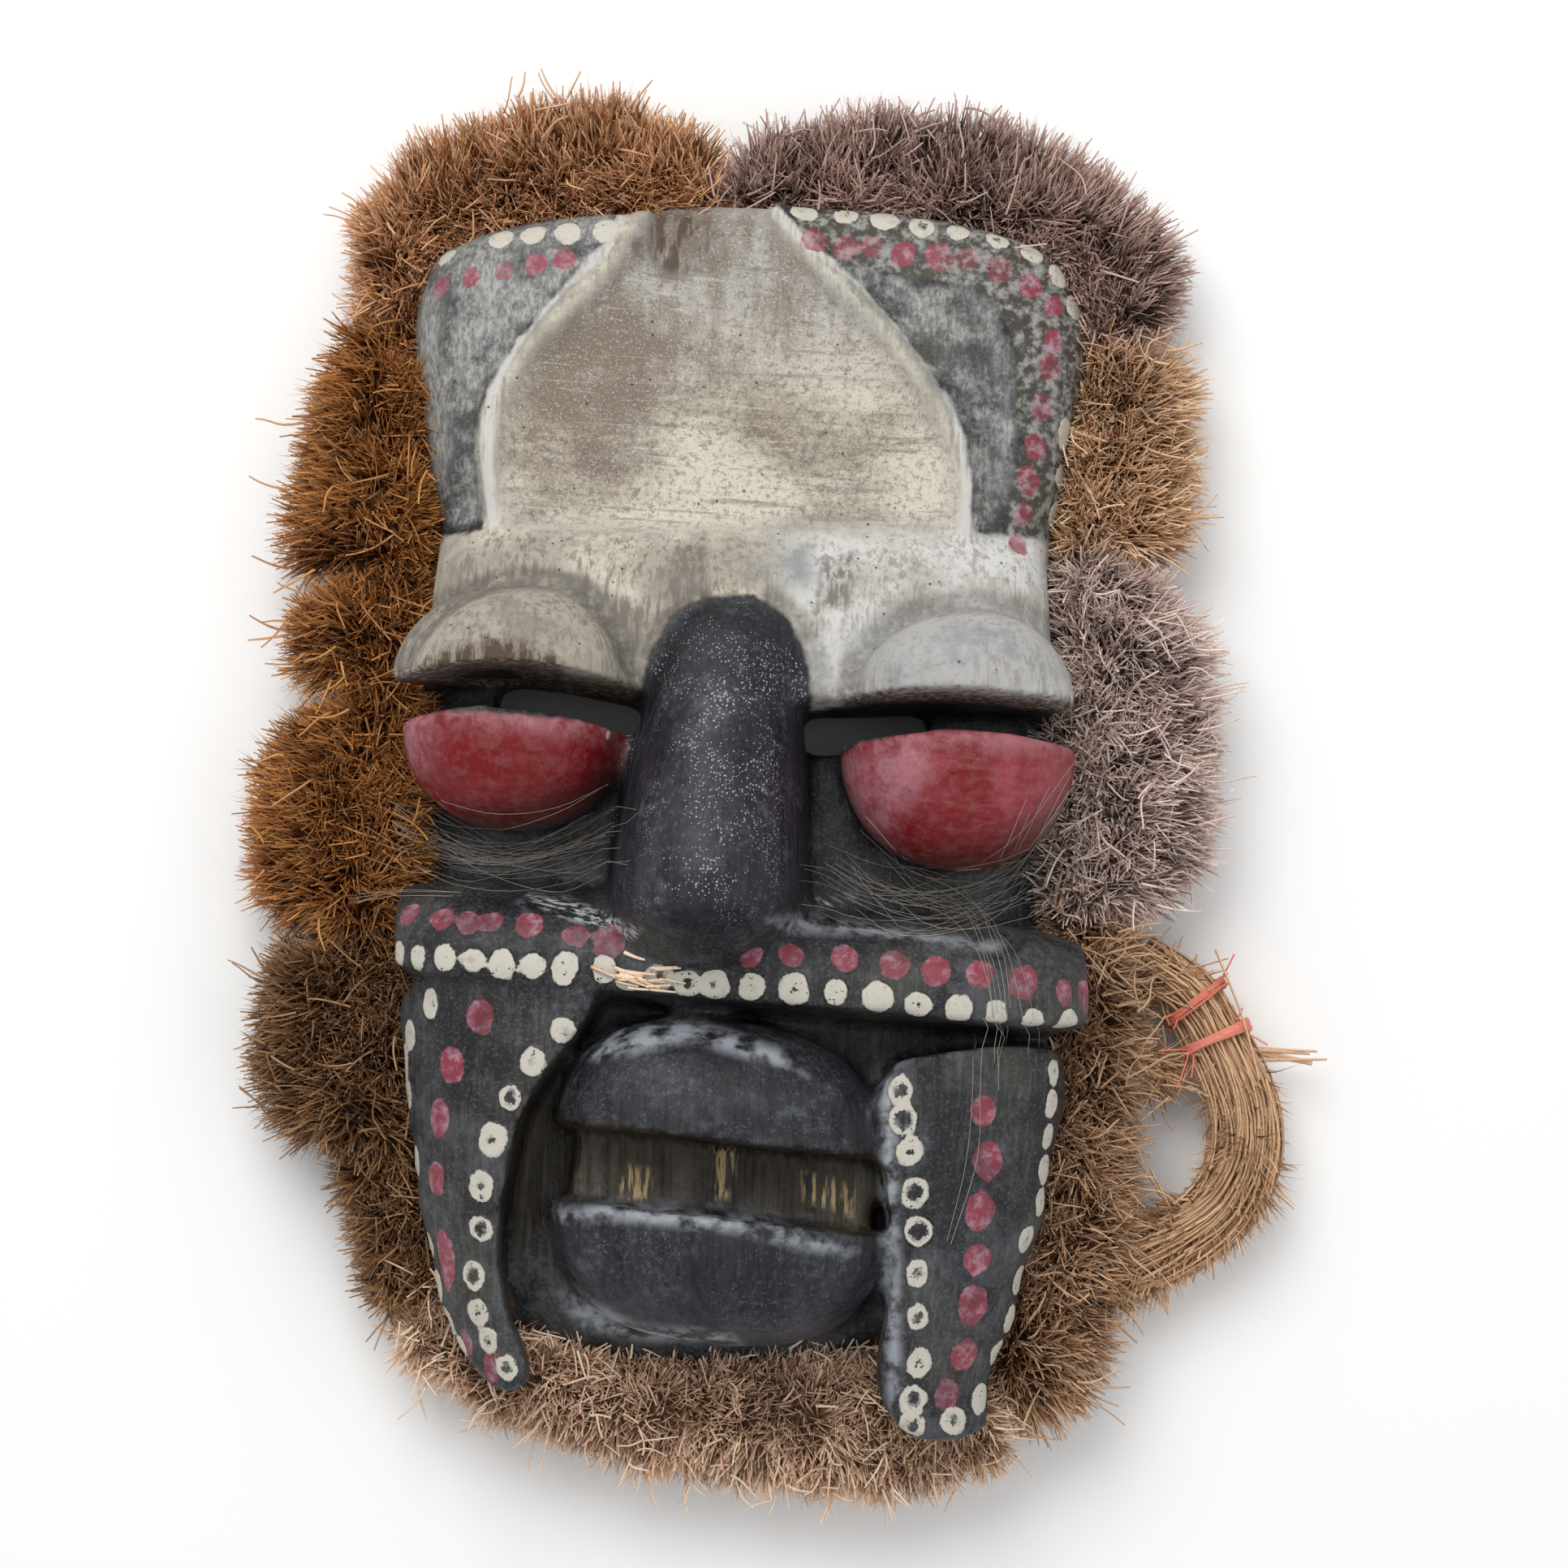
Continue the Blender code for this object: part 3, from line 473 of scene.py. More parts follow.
class Effects:
    """The shader groups that more than one material uses, each built once."""

    def __init__(self) -> None:
        """Build every group."""
        self.grain = self.build_grain()
        self.coat = self.build_coat()
        self.specks = self.build_specks()
        self.scratches = self.build_scratches()
        self.dot = self.build_dot()

    def build_grain(self) -> bpy.types.NodeTree:
        """Wood grain that runs along Y: a colour between dark and light, and a height."""
        nodes, given, end = new_tree(
            "wood_grain",
            "ShaderNodeTree",
            {"Vector": Socket.VECTOR, "Dark": Socket.COLOUR, "Light": Socket.COLOUR},
            {"Colour": Socket.COLOUR, "Height": Socket.NUMBER},
        )
        broad = nodes.lines(given["Vector"], (1.0, 0.10, 1.0), 90.0, 3.0, 0.6, 0.4)
        fine = nodes.lines(given["Vector"], (1.0, 0.035, 1.0), 620.0, 2.0, 0.6)
        patches = nodes.noise(given["Vector"], 28.0, 3.0, 0.6)
        value = nodes.blend((broad, 0.45), (fine, 0.35), (patches, 0.20))
        shade = nodes.ramp(value, 0.36, 0.66)
        nodes.feed(end.inputs["Colour"], nodes.mix(shade, given["Dark"], given["Light"]))
        nodes.feed(end.inputs["Height"], value)
        return nodes.tree

    def build_coat(self) -> bpy.types.NodeTree:
        """Worn paint: how far a coat still covers, from its distance inside its outline."""
        nodes, given, end = new_tree(
            "worn_coat",
            "ShaderNodeTree",
            {
                "Edge": Socket.NUMBER,
                "Worn": Socket.NUMBER,
                "Inside": Socket.NUMBER,
                "Ragged": Socket.NUMBER,
                "Soft": Socket.NUMBER,
                "Wear": Socket.NUMBER,
            },
            {"Cover": Socket.NUMBER},
        )
        moved = nodes.plus(given["Inside"], nodes.times(given["Edge"], given["Ragged"]))
        low = nodes.times(given["Soft"], -1.0)
        cover = nodes.ramp(moved, low, given["Soft"])
        limit = nodes.minus(0.86, nodes.times(given["Wear"], 0.5))
        left = nodes.minus(1.0, nodes.ramp(given["Worn"], nodes.minus(limit, 0.06), limit))
        nodes.feed(end.inputs["Cover"], nodes.times(cover, left))
        return nodes.tree

    def build_specks(self) -> bpy.types.NodeTree:
        """Small round specks scattered over a surface."""
        nodes, given, end = new_tree(
            "specks",
            "ShaderNodeTree",
            {"Vector": Socket.VECTOR, "Scale": Socket.NUMBER, "Share": Socket.NUMBER},
            {"Mask": Socket.NUMBER},
        )
        cells = nodes.add("ShaderNodeTexVoronoi", {"Vector": given["Vector"], "Scale": given["Scale"]})
        chance = nodes.add("ShaderNodeSeparateColor", {0: cells.outputs["Color"]}).outputs[0]
        patches = nodes.ramp(nodes.noise(given["Vector"], 55.0, 2.0), 0.35, 0.62)
        share = nodes.times(given["Share"], patches)
        shown = nodes.math("LESS_THAN", chance, share)
        size = nodes.plus(0.20, nodes.times(chance, 0.30))
        round_speck = nodes.ramp(cells.outputs["Distance"], size, nodes.times(size, 0.6))
        nodes.feed(end.inputs["Mask"], nodes.times(shown, round_speck))
        return nodes.tree

    def build_scratches(self) -> bpy.types.NodeTree:
        """Fine scratches along the first axis of the vector."""
        nodes, given, end = new_tree(
            "scratches",
            "ShaderNodeTree",
            {"Vector": Socket.VECTOR, "Share": Socket.NUMBER},
            {"Mask": Socket.NUMBER},
        )
        bends = nodes.add("ShaderNodeTexNoise", {"Vector": given["Vector"], "Scale": 25.0})
        bent = nodes.scaled(bends.outputs[1], 0.004)
        moved = nodes.vector("ADD", given["Vector"], bent)
        lines = nodes.lines(moved, (0.04, 1.0, 1.0), 900.0, 2.0, 0.5)
        gaps = nodes.noise(given["Vector"], 45.0, 3.0)
        value = nodes.blend((lines, 0.7), (gaps, 0.3))
        limit = nodes.minus(0.74, nodes.times(given["Share"], 0.3))
        nodes.feed(end.inputs["Mask"], nodes.ramp(value, limit, nodes.plus(limit, 0.07)))
        return nodes.tree

    def build_dot(self) -> bpy.types.NodeTree:
        """Painted dots from the distance outside each dot's edge, some with a chipped middle."""
        nodes, given, end = new_tree(
            "painted_dot",
            "ShaderNodeTree",
            {
                "Edge": Socket.NUMBER,
                "Fine": Socket.NUMBER,
                "Distance": Socket.NUMBER,
                "Hollow": Socket.NUMBER,
                "Wear": Socket.NUMBER,
            },
            {"Cover": Socket.NUMBER},
        )
        moved = nodes.plus(given["Distance"], nodes.times(given["Edge"], 0.0040))
        moved = nodes.plus(moved, 0.0003)
        outer = nodes.ramp(moved, 0.00022, -0.00022)
        core = nodes.plus(moved, nodes.mix_value(given["Hollow"], 0.0052, 0.0020))
        core_wobble = nodes.minus(given["Fine"], 0.5)
        core = nodes.plus(core, nodes.times(core_wobble, 0.0040))
        middle = nodes.ramp(core, -0.0002, 0.0002)
        limit = nodes.minus(0.82, nodes.times(given["Wear"], 0.5))
        left = nodes.ramp(given["Fine"], nodes.plus(limit, 0.03), nodes.minus(limit, 0.03))
        ring = nodes.ramp(nodes.math("ABSOLUTE", nodes.plus(core, -0.0004)), 0.00062, 0.00022)
        broken = nodes.ramp(given["Edge"], -0.06, 0.10)
        left = nodes.times(left, nodes.minus(1.0, nodes.times(ring, broken)))
        cover = nodes.times(nodes.times(outer, middle), left)
        nodes.feed(end.inputs["Cover"], cover)
        return nodes.tree


def new_material(name: str) -> tuple[Nodes, bpy.types.Node, bpy.types.Material]:
    """Start a material with one Principled shader.

    Args:
        name: The material's name.

    Returns:
        The tree's helper, the shader and the material.
    """
    material = bpy.data.materials.new(name)
    material.use_nodes = True
    tree = material.node_tree
    tree.nodes.clear()
    shader = tree.nodes.new("ShaderNodeBsdfPrincipled")
    output = tree.nodes.new("ShaderNodeOutputMaterial")
    tree.links.new(shader.outputs[0], output.inputs[0])
    return Nodes(tree), shader, material


# Finishes


@dataclass(frozen=True)
class PaintFinish:
    """The mask's paint: worn black, cream, grey wash and red over dark carving wood."""

    wood_dark: Colour = (0.016, 0.008, 0.004)
    wood_light: Colour = (0.105, 0.060, 0.034)
    black: Colour = (0.010, 0.010, 0.012)
    black_green: Colour = (0.036, 0.036, 0.030)
    black_dust: Colour = (0.105, 0.108, 0.118)
    black_grit: Colour = (0.170, 0.172, 0.178)
    black_haze: Colour = (0.120, 0.128, 0.145)
    # blue-grey bloom on the dark paint, partly a painted sheen
    bloom: Colour = (0.150, 0.166, 0.195)
    mouth_dark: Colour = (0.008, 0.006, 0.004)
    mouth_light: Colour = (0.066, 0.052, 0.036)
    teeth: Colour = (0.400, 0.290, 0.140)
    border: Colour = (0.052, 0.046, 0.036)
    wash: Colour = (0.380, 0.380, 0.365)
    cream: Colour = (0.560, 0.525, 0.440)
    white: Colour = (0.590, 0.615, 0.640)
    cream_grey: Colour = (0.265, 0.240, 0.200)
    cream_streak: Colour = (0.150, 0.118, 0.084)
    cream_grit: Colour = (0.190, 0.160, 0.125)
    soil_warm: Colour = (0.200, 0.178, 0.150)
    soil_cool: Colour = (0.270, 0.285, 0.330)
    # darkening in the lids' creases: painted shade, with some dirt
    crease: Colour = (0.110, 0.100, 0.088)
    # paler cream on the convex parts: a painted highlight
    ridge: Colour = (0.640, 0.625, 0.570)
    # grey on the outer slope of the arch's cream edge: painted shade
    slope: Colour = (0.215, 0.215, 0.205)
    bare: Colour = (0.085, 0.055, 0.038)
    field_brown: Colour = (0.165, 0.124, 0.084)
    field_cream: Colour = (0.620, 0.565, 0.470)
    field_grey: Colour = (0.385, 0.380, 0.370)
    field_pit: Colour = (0.130, 0.100, 0.075)
    field_scratch: Colour = (0.620, 0.575, 0.490)
    field_drag: Colour = (0.150, 0.118, 0.090)
    field_fleck: Colour = (0.720, 0.690, 0.620)
    field_speck: Colour = (0.130, 0.104, 0.080)
    field_edge: Colour = (0.330, 0.325, 0.310)
    top_stain: Colour = (0.075, 0.048, 0.032)
    crest_grey: Colour = (0.430, 0.435, 0.425)
    crest_pale: Colour = (0.620, 0.605, 0.560)
    smear: Colour = (0.165, 0.150, 0.130)
    red_deep: Colour = (0.165, 0.003, 0.005)
    red_pale: Colour = (0.330, 0.055, 0.075)
    red_rim: Colour = (0.380, 0.270, 0.270)
    # chalky red, partly a painted highlight on the lids' upper left
    red_chalk_and_highlight: Colour = (0.420, 0.190, 0.230)
    red_rub: Colour = (0.380, 0.110, 0.110)
    red_dirt: Colour = (0.080, 0.012, 0.012)
    red_shadow: Colour = (0.055, 0.020, 0.017)
    nose_dark: Colour = (0.006, 0.006, 0.009)
    nose_light: Colour = (0.030, 0.032, 0.042)
    nose_crust: Colour = (0.150, 0.158, 0.185)
    fleck: Colour = (0.440, 0.445, 0.470)
    # pale blue-grey chalk dust, partly a painted highlight
    dust: Colour = (0.360, 0.385, 0.430)
    scrape: Colour = (0.540, 0.560, 0.590)
    worn_edge: Colour = (0.270, 0.285, 0.310)
    crimson: Colour = (0.240, 0.036, 0.058)
    crimson_pale: Colour = (0.380, 0.220, 0.270)
    dot_cream: Colour = (0.520, 0.495, 0.430)
    dot_soiled: Colour = (0.300, 0.270, 0.210)
    # the darkening in the hollows
    hollow_darkening: Colour = (0.020, 0.014, 0.010)
    pore: Colour = (0.035, 0.025, 0.020)

    def build(self, effects: Effects) -> bpy.types.Material:
        """Make the material.

        Args:
            effects: The shared shader groups.

        Returns:
            The material, which reads the attributes that the carving keeps.
        """
        return PaintCoats(self, effects).build()


class PaintCoats:
    """The paint's coats, laid over each other in one material from the bare wood up."""

    def __init__(self, finish: PaintFinish, effects: Effects) -> None:
        """Start the material and the patterns that several coats share.

        Args:
            finish: The paint's colours.
            effects: The shared shader groups.
        """
        self.finish = finish
        self.effects = effects
        self.nodes, self.shader, self.material = new_material("worn_mask_paint")
        nodes = self.nodes
        self.place = nodes.add("ShaderNodeTexCoord").outputs["Object"]
        self.turned = self.rotated(3)
        self.height = nodes.add("ShaderNodeSeparateXYZ", {0: self.place}).outputs[1]
        self.ridge = nodes.attribute("ridge")
        self.broad = nodes.noise(self.place, 32.0, 3.0, 0.6)
        self.small = nodes.noise(self.place, 260.0, 4.0, 0.65)
        self.edge = nodes.minus(nodes.noise(self.place, 140.0, 4.0, 0.6), 0.5)
        self.chips = nodes.noise(self.place, 440.0, 3.0, 0.72)
        self.patches = nodes.noise(self.place, 60.0, 3.0, 0.6)
        self.mottle = nodes.noise(self.place, 38.0, 6.0, 0.78)
        self.worn = nodes.blend((self.chips, 0.6), (self.patches, 0.4))
        self.grain_lines = nodes.lines(self.place, (1.0, 0.05, 1.0), 560.0, 3.0, 0.7)
        self.brush_lines = nodes.lines(self.place, (1.0, 0.10, 1.0), 480.0, 3.0, 0.7)
        self.drags = nodes.lines(self.turned, (0.07, 1.0, 1.0), 330.0, 3.0, 0.65)
        self.cool = nodes.zone("cool", -0.012, 0.018)
        self.wood = nodes.group(
            effects.grain, Vector=self.place, Dark=finish.wood_dark, Light=finish.wood_light
        )
        self.colour = self.wood.outputs["Colour"]

    def rotated(self, degrees: float) -> Output:
        """Turn the place about the upright axis, for patterns that run aslant."""
        inputs = {"Vector": self.place, "Rotation": (0, 0, math.radians(degrees))}
        return self.nodes.add("ShaderNodeMapping", inputs).outputs[0]

    def coat(self, name: str, ragged: float, soft: float, wear: float) -> Output:
        """Find how far a worn coat covers.

        Args:
            name: The attribute that says how deep a point lies inside the coat.
            ragged: How far its edge wanders.
            soft: How soft its edge is.
            wear: How much of it is gone, from 0 to 1.

        Returns:
            Its cover.
        """
        inside = self.nodes.attribute(name)
        inputs = {"Inside": inside, "Ragged": ragged, "Soft": soft, "Wear": wear}
        return self.nodes.group(
            self.effects.coat, Edge=self.edge, Worn=self.worn, **inputs
        ).outputs["Cover"]

    def dots(self, name: str, hollow: object, wear: float) -> Output:
        """Find how far painted dots cover, from the attribute with the distance to them."""
        inputs = {"Distance": self.nodes.attribute(name), "Hollow": hollow, "Wear": wear}
        return self.nodes.group(
            self.effects.dot, Edge=self.edge, Fine=self.chips, **inputs
        ).outputs["Cover"]

    def specks(self, scale: float, share: float) -> Output:
        """Scatter small round specks."""
        return self.nodes.group(
            self.effects.specks, Vector=self.place, Scale=scale, Share=share
        ).outputs["Mask"]

    def lay(self, share: object, colour: object) -> None:
        """Lay a colour over what is there, by a share."""
        self.colour = self.nodes.mix(share, self.colour, colour)

    def black_coat(self) -> None:
        """Lay the worn black over the wood, with its chalky bloom and painted sheen, dust, grit and
        haze.
        """
        nodes, finish = self.nodes, self.finish
        tone = nodes.mix(nodes.ramp(self.broad, 0.42, 0.66), finish.black, finish.black_green)
        # the bloom: chalky blue-grey patches, partly a painted sheen
        bloom = nodes.times(nodes.ramp(self.patches, 0.50, 0.70), nodes.ramp(self.small, 0.40, 0.70))
        self.bloom = nodes.times(bloom, 0.42)
        tone = nodes.mix(self.bloom, tone, finish.bloom)
        black = self.coat("painted", 0.004, 0.0012, 0.22)
        self.black = nodes.times(black, nodes.minus(1.0, nodes.zone("cream", -0.0010, 0.0010)))
        dust = nodes.times(
            nodes.ramp(self.grain_lines, 0.47, 0.66), nodes.ramp(self.broad, 0.36, 0.62, 0.20, 0.80)
        )
        tone = nodes.mix(nodes.times(dust, 0.50), tone, finish.black_dust)
        grit = nodes.times(nodes.ramp(nodes.noise(self.place, 780.0, 2.0, 0.8), 0.52, 0.68), 0.26)
        tone = nodes.mix(grit, tone, finish.black_grit)
        haze = nodes.ramp(nodes.noise(self.place, 26.0, 5.0, 0.8), 0.48, 0.66, 0.0, 0.34)
        self.lay(self.black, nodes.mix(haze, tone, finish.black_haze))

    def mouth_cuts(self) -> None:
        """Lay the raw dark wood inside the mouth and the straw-coloured marks of the teeth."""
        nodes, finish = self.nodes, self.finish
        raw = nodes.ramp(self.wood.outputs["Height"], 0.38, 0.64)
        self.lay(
            nodes.zone("mouth", -0.0010, 0.0012), nodes.mix(raw, finish.mouth_dark, finish.mouth_light)
        )
        streaks = nodes.ramp(nodes.lines(self.place, (1.0, 0.10, 1.0), 720.0, 3.0), 0.46, 0.60)
        self.lay(nodes.times(nodes.zone("teeth", -0.0014, 0.0026), streaks), finish.teeth)

    def washes(self) -> None:
        """Lay the grey wash on the plate's corners and the brown border beside it."""
        nodes, finish = self.nodes, self.finish
        patch = nodes.ramp(nodes.noise(self.place, 44.0, 5.0, 0.8), 0.38, 0.60, 0.10, 1.0)
        fine = nodes.ramp(
            nodes.lines(self.place, (1.0, 0.35, 1.0), 620.0, 4.0, 0.8), 0.36, 0.64, 0.30, 0.92
        )
        beside = nodes.times(nodes.zone("edge_wash", -0.004, 0.006), fine)
        amount = nodes.larger(nodes.times(patch, fine), beside)
        self.lay(nodes.times(self.coat("wash", 0.010, 0.0025, 0.30), amount), finish.wash)
        tone = nodes.mix(nodes.ramp(self.small, 0.42, 0.66, 0.0, 0.70), finish.border, finish.wash)
        self.lay(self.coat("border", 0.005, 0.0008, 0.15), tone)

    def cream_coat(self) -> None:
        """Lay the cream on the brow and the lids, with its brush marks, soiling and bare spots, painted
        shade in the lids' creases and on the arch's outer slope, and a painted highlight on its convex
        parts.
        """
        nodes, finish, cool = self.nodes, self.finish, self.cool
        self.cream = self.coat("cream", 0.0035, 0.0009, 0.10)
        tone = nodes.mix(cool, finish.cream, finish.white)
        grey = nodes.times(
            nodes.ramp(self.mottle, 0.40, 0.66, 0.0, 0.80), nodes.mix_value(cool, 1.0, 0.55)
        )
        tone = nodes.mix(grey, tone, finish.cream_grey)
        brush = nodes.ramp(self.brush_lines, 0.47, 0.62, 0.0, 0.75)
        brush = nodes.times(brush, nodes.ramp(self.broad, 0.36, 0.60, 0.15, 1.0))
        brush = nodes.times(brush, nodes.mix_value(cool, 1.0, 0.45))
        tone = nodes.mix(brush, tone, finish.cream_streak)
        tone = nodes.mix(nodes.ramp(self.chips, 0.54, 0.68, 0.0, 0.45), tone, finish.cream_grit)
        soiled = nodes.ramp(self.mottle, 0.60, 0.38, 0.25, 0.92)
        soiled = nodes.times(nodes.zone("soiled", -0.0040, 0.0060), soiled)
        tone = nodes.mix(soiled, tone, nodes.mix(cool, finish.soil_warm, finish.soil_cool))
        # darker along the lids' upper creases: painted shade, with some dirt in them
        crease = nodes.zone("crease", 0.15, 0.75, 0.0, 0.80)
        crease = nodes.times(crease, nodes.ramp(self.small, 0.28, 0.58, 0.45, 1.0))
        crease = nodes.times(crease, nodes.mix_value(cool, 1.0, 0.35))
        tone = nodes.mix(crease, tone, finish.crease)
        # paler on the convex parts of the cream: a painted highlight
        tone = nodes.mix(nodes.ramp(self.ridge, 0.03, 0.18, 0.0, 0.45), tone, finish.ridge)
        # greyer on the outer slope of the arch's cream edge, above the brow: painted shade
        above_brow = nodes.ramp(self.height, 0.078, 0.088)
        slope = nodes.times(nodes.zone("cream", 0.0042, 0.0003), above_brow)
        slope = nodes.times(slope, nodes.ramp(self.small, 0.30, 0.60, 0.55, 1.0))
        tone = nodes.mix(slope, tone, finish.slope)
        bare = nodes.plus(nodes.attribute("bare"), nodes.times(nodes.minus(self.small, 0.5), 0.012))
        bare = nodes.times(
            nodes.ramp(bare, -0.0034, 0.0020), nodes.ramp(self.brush_lines, 0.36, 0.54, 0.30, 1.0)
        )
        self.lay(self.cream, nodes.mix(bare, tone, finish.bare))

    def field_coat(self) -> None:
        """Lay the rubbed field inside the arch, the pale crest round it and the smears below."""
        nodes, finish = self.nodes, self.finish
        upper = nodes.ramp(self.height, 0.120, 0.175)
        streaks = nodes.lines(self.place, (1.0, 0.09, 1.0), 170.0, 3.0, 0.6)
        sweeps = nodes.lines(self.turned, (0.20, 1.0, 1.0), 95.0, 5.0, 0.72)
        dragged = nodes.lines(self.turned, (0.6, 1.0, 1.0), 34.0, 6.0, 0.72)
        low = nodes.blend((sweeps, 0.40), (dragged, 0.42), (self.chips, 0.18))
        high = nodes.blend((streaks, 0.62), (self.broad, 0.20), (self.small, 0.18))
        worn = nodes.mix_value(upper, low, high)
        worn = nodes.minus(worn, nodes.times(nodes.zone("brown_patch", -0.021, 0.028), 0.31))
        worn = nodes.plus(worn, nodes.ramp(self.height, 0.125, 0.092, 0.0, 0.14))
        worn = nodes.minus(worn, nodes.ramp(self.broad, 0.62, 0.34, 0.0, 0.10))
        top = nodes.mix(upper, finish.field_cream, finish.field_grey)
        tone = nodes.mix(nodes.ramp(worn, 0.27, 0.62), finish.field_brown, top)
        tone = nodes.mix(nodes.ramp(self.chips, 0.50, 0.36, 0.0, 0.60), tone, finish.field_pit)
        scratch = nodes.group(self.effects.scratches, Vector=self.turned, Share=0.52).outputs["Mask"]
        tone = nodes.mix(nodes.times(scratch, 0.30), tone, finish.field_scratch)
        tone = nodes.mix(nodes.ramp(self.drags, 0.44, 0.34, 0.0, 0.55), tone, finish.field_drag)
        fine = nodes.noise(self.place, 1300.0, 2.0, 0.8)
        tone = nodes.mix(nodes.ramp(fine, 0.56, 0.66, 0.0, 0.50), tone, finish.field_fleck)
        tone = nodes.mix(nodes.ramp(fine, 0.44, 0.34, 0.0, 0.45), tone, finish.field_speck)
        tone = nodes.mix(nodes.zone("field", 0.007, 0.001, 0.0, 0.40), tone, finish.field_edge)
        stain = nodes.times(
            nodes.zone("top_brown", -0.003, 0.005), nodes.ramp(streaks, 0.40, 0.52, 0.25, 0.95)
        )
        self.field = nodes.zone("field", -0.0040, 0.0020)
        self.lay(self.field, nodes.mix(stain, tone, finish.top_stain))
        crest = nodes.times(nodes.zone("crest", 0.30, 0.75), self.cream)
        crest = nodes.times(crest, nodes.ramp(self.brush_lines, 0.62, 0.46, 0.45, 0.95))
        self.lay(crest, nodes.mix(self.broad, finish.crest_grey, finish.crest_pale))
        brushed = nodes.ramp(self.brush_lines, 0.38, 0.58, 0.30, 0.90)
        self.lay(nodes.times(nodes.zone("smear", -0.0020, 0.0024), brushed), finish.smear)

    def red_coat(self) -> None:
        """Lay the red of the lower lids, with its pale rim, chalk bloom that is partly a painted
        highlight on the upper left, rubs, dirt and painted shadow on the lower part.
        """
        nodes, finish = self.nodes, self.finish
        self.red = self.coat("red", 0.003, 0.0008, 0.16)
        pale = nodes.times(nodes.ramp(self.broad, 0.40, 0.66), self.cool)
        tone = nodes.mix(pale, finish.red_deep, finish.red_pale)
        rim = nodes.times(nodes.zone("red", 0.0075, 0.0005), nodes.ramp(self.small, 0.42, 0.66))
        tone = nodes.mix(nodes.times(rim, 0.32), tone, finish.red_rim)
        # chalk bloom on the lids' left and top edges, partly a painted highlight
        chalk = nodes.ramp(self.mottle, 0.40, 0.60, 0.10, 0.90)
        tone = nodes.mix(
            nodes.times(nodes.zone("red_bloom", -0.006, 0.006), chalk), tone, finish.red_chalk_and_highlight
        )
        rub = nodes.times(
            nodes.ramp(self.drags, 0.50, 0.66, 0.0, 0.35), nodes.mix_value(self.cool, 0.25, 1.0)
        )
        tone = nodes.mix(rub, tone, finish.red_rub)
        tone = nodes.mix(nodes.ramp(self.mottle, 0.54, 0.68, 0.0, 0.60), tone, finish.red_dirt)
        self.lay(
            self.red,
            nodes.mix(nodes.zone("red_shade", -0.006, 0.008, 0.0, 0.80), tone, finish.red_shadow),
        )

    def blue_black_coat(self) -> None:
        """Lay the blue-black of the nose and the lips, and the white flecks on what is dark."""
        nodes, finish = self.nodes, self.finish
        nose = nodes.zone("blue_black", -0.0015, 0.0030)
        facing = nodes.attribute("facing")
        grain = nodes.ramp(self.wood.outputs["Height"], 0.36, 0.66)
        # the nose and the lips get the same bloom, partly a painted sheen
        tone = nodes.mix(
            self.bloom, nodes.mix(grain, finish.nose_dark, finish.nose_light), finish.bloom
        )
        crust = nodes.times(nodes.ramp(self.broad, 0.40, 0.62), facing)
        crust = nodes.times(nodes.ramp(self.chips, 0.53, 0.66), crust)
        self.lay(nose, nodes.mix(nodes.times(crust, 0.30), tone, finish.nose_crust))
        upper_nose = nodes.ramp(self.height, -0.080, -0.050, 0.15, 1.0)
        dark = nodes.larger(nodes.times(nose, upper_nose), nodes.times(self.black, 0.10))
        dark = nodes.times(dark, nodes.minus(1.0, nodes.zone("cream", -0.002, 0.001)))
        flecks = nodes.times(self.specks(980.0, 0.95), nodes.times(dark, facing))
        self.lay(nodes.times(flecks, 0.66), finish.fleck)

    def dust(self) -> None:
        """Lay chalk dust, partly painted highlight on the top edges of the lips and the band and
        painted light on the right panel's inner wall, the scrapes on the band, and the pale wear of the
        dark edges.
        """
        nodes, finish = self.nodes, self.finish
        # chalk dust, partly painted highlight on top edges and painted light on the right panel's inner
        # wall
        dusty = nodes.times(nodes.zone("dusty", -0.0018, 0.0038), nodes.ramp(self.edge, -0.14, 0.12))
        self.lay(nodes.times(dusty, 0.85), finish.dust)
        slanted = nodes.lines(self.rotated(24), (0.10, 1.0, 1.0), 520.0, 3.0, 0.7)
        slanted = nodes.ramp(slanted, 0.46, 0.60, 0.0, 0.85)
        self.lay(nodes.times(nodes.zone("scrape", -0.0020, 0.0016), slanted), finish.scrape)
        dark_only = nodes.times(self.black, nodes.zone("cream", 0.0, -0.003))
        worn = nodes.times(dark_only, nodes.ramp(self.small, 0.42, 0.62))
        worn = nodes.times(nodes.ramp(self.ridge, 0.05, 0.30), worn)
        worn = nodes.times(worn, nodes.zone("red", 0.0, -0.002))
        self.lay(nodes.times(worn, 0.55), finish.worn_edge)

    def dot_rows(self) -> None:
        """Lay the red and the white dots."""
        nodes, finish = self.nodes, self.finish
        faded = nodes.ramp(self.patches, 0.36, 0.60, 0.45, 0.95)
        tone = nodes.mix(nodes.ramp(self.small, 0.42, 0.72), finish.crimson, finish.crimson_pale)
        self.lay(nodes.times(self.dots("red_dots", 0.0, 0.30), faded), tone)
        tone = nodes.mix(
            nodes.ramp(self.small, 0.50, 0.80, 0.0, 0.6), finish.dot_cream, finish.dot_soiled
        )
        self.lay(self.dots("white_dots", nodes.attribute("hollow_dots"), 0.34), tone)

    def hollow_darkening(self) -> None:
        """Darken the hollows and lay the pores in the cream."""
        nodes, finish = self.nodes, self.finish
        # darker in the hollows
        hollow = nodes.ramp(self.ridge, -0.04, -0.26)
        self.lay(nodes.times(hollow, nodes.ramp(self.small, 0.25, 0.60, 0.35, 0.85)), finish.hollow_darkening)
        pores = nodes.times(self.specks(340.0, 0.12), self.cream)
        self.lay(nodes.times(pores, 0.8), finish.pore)

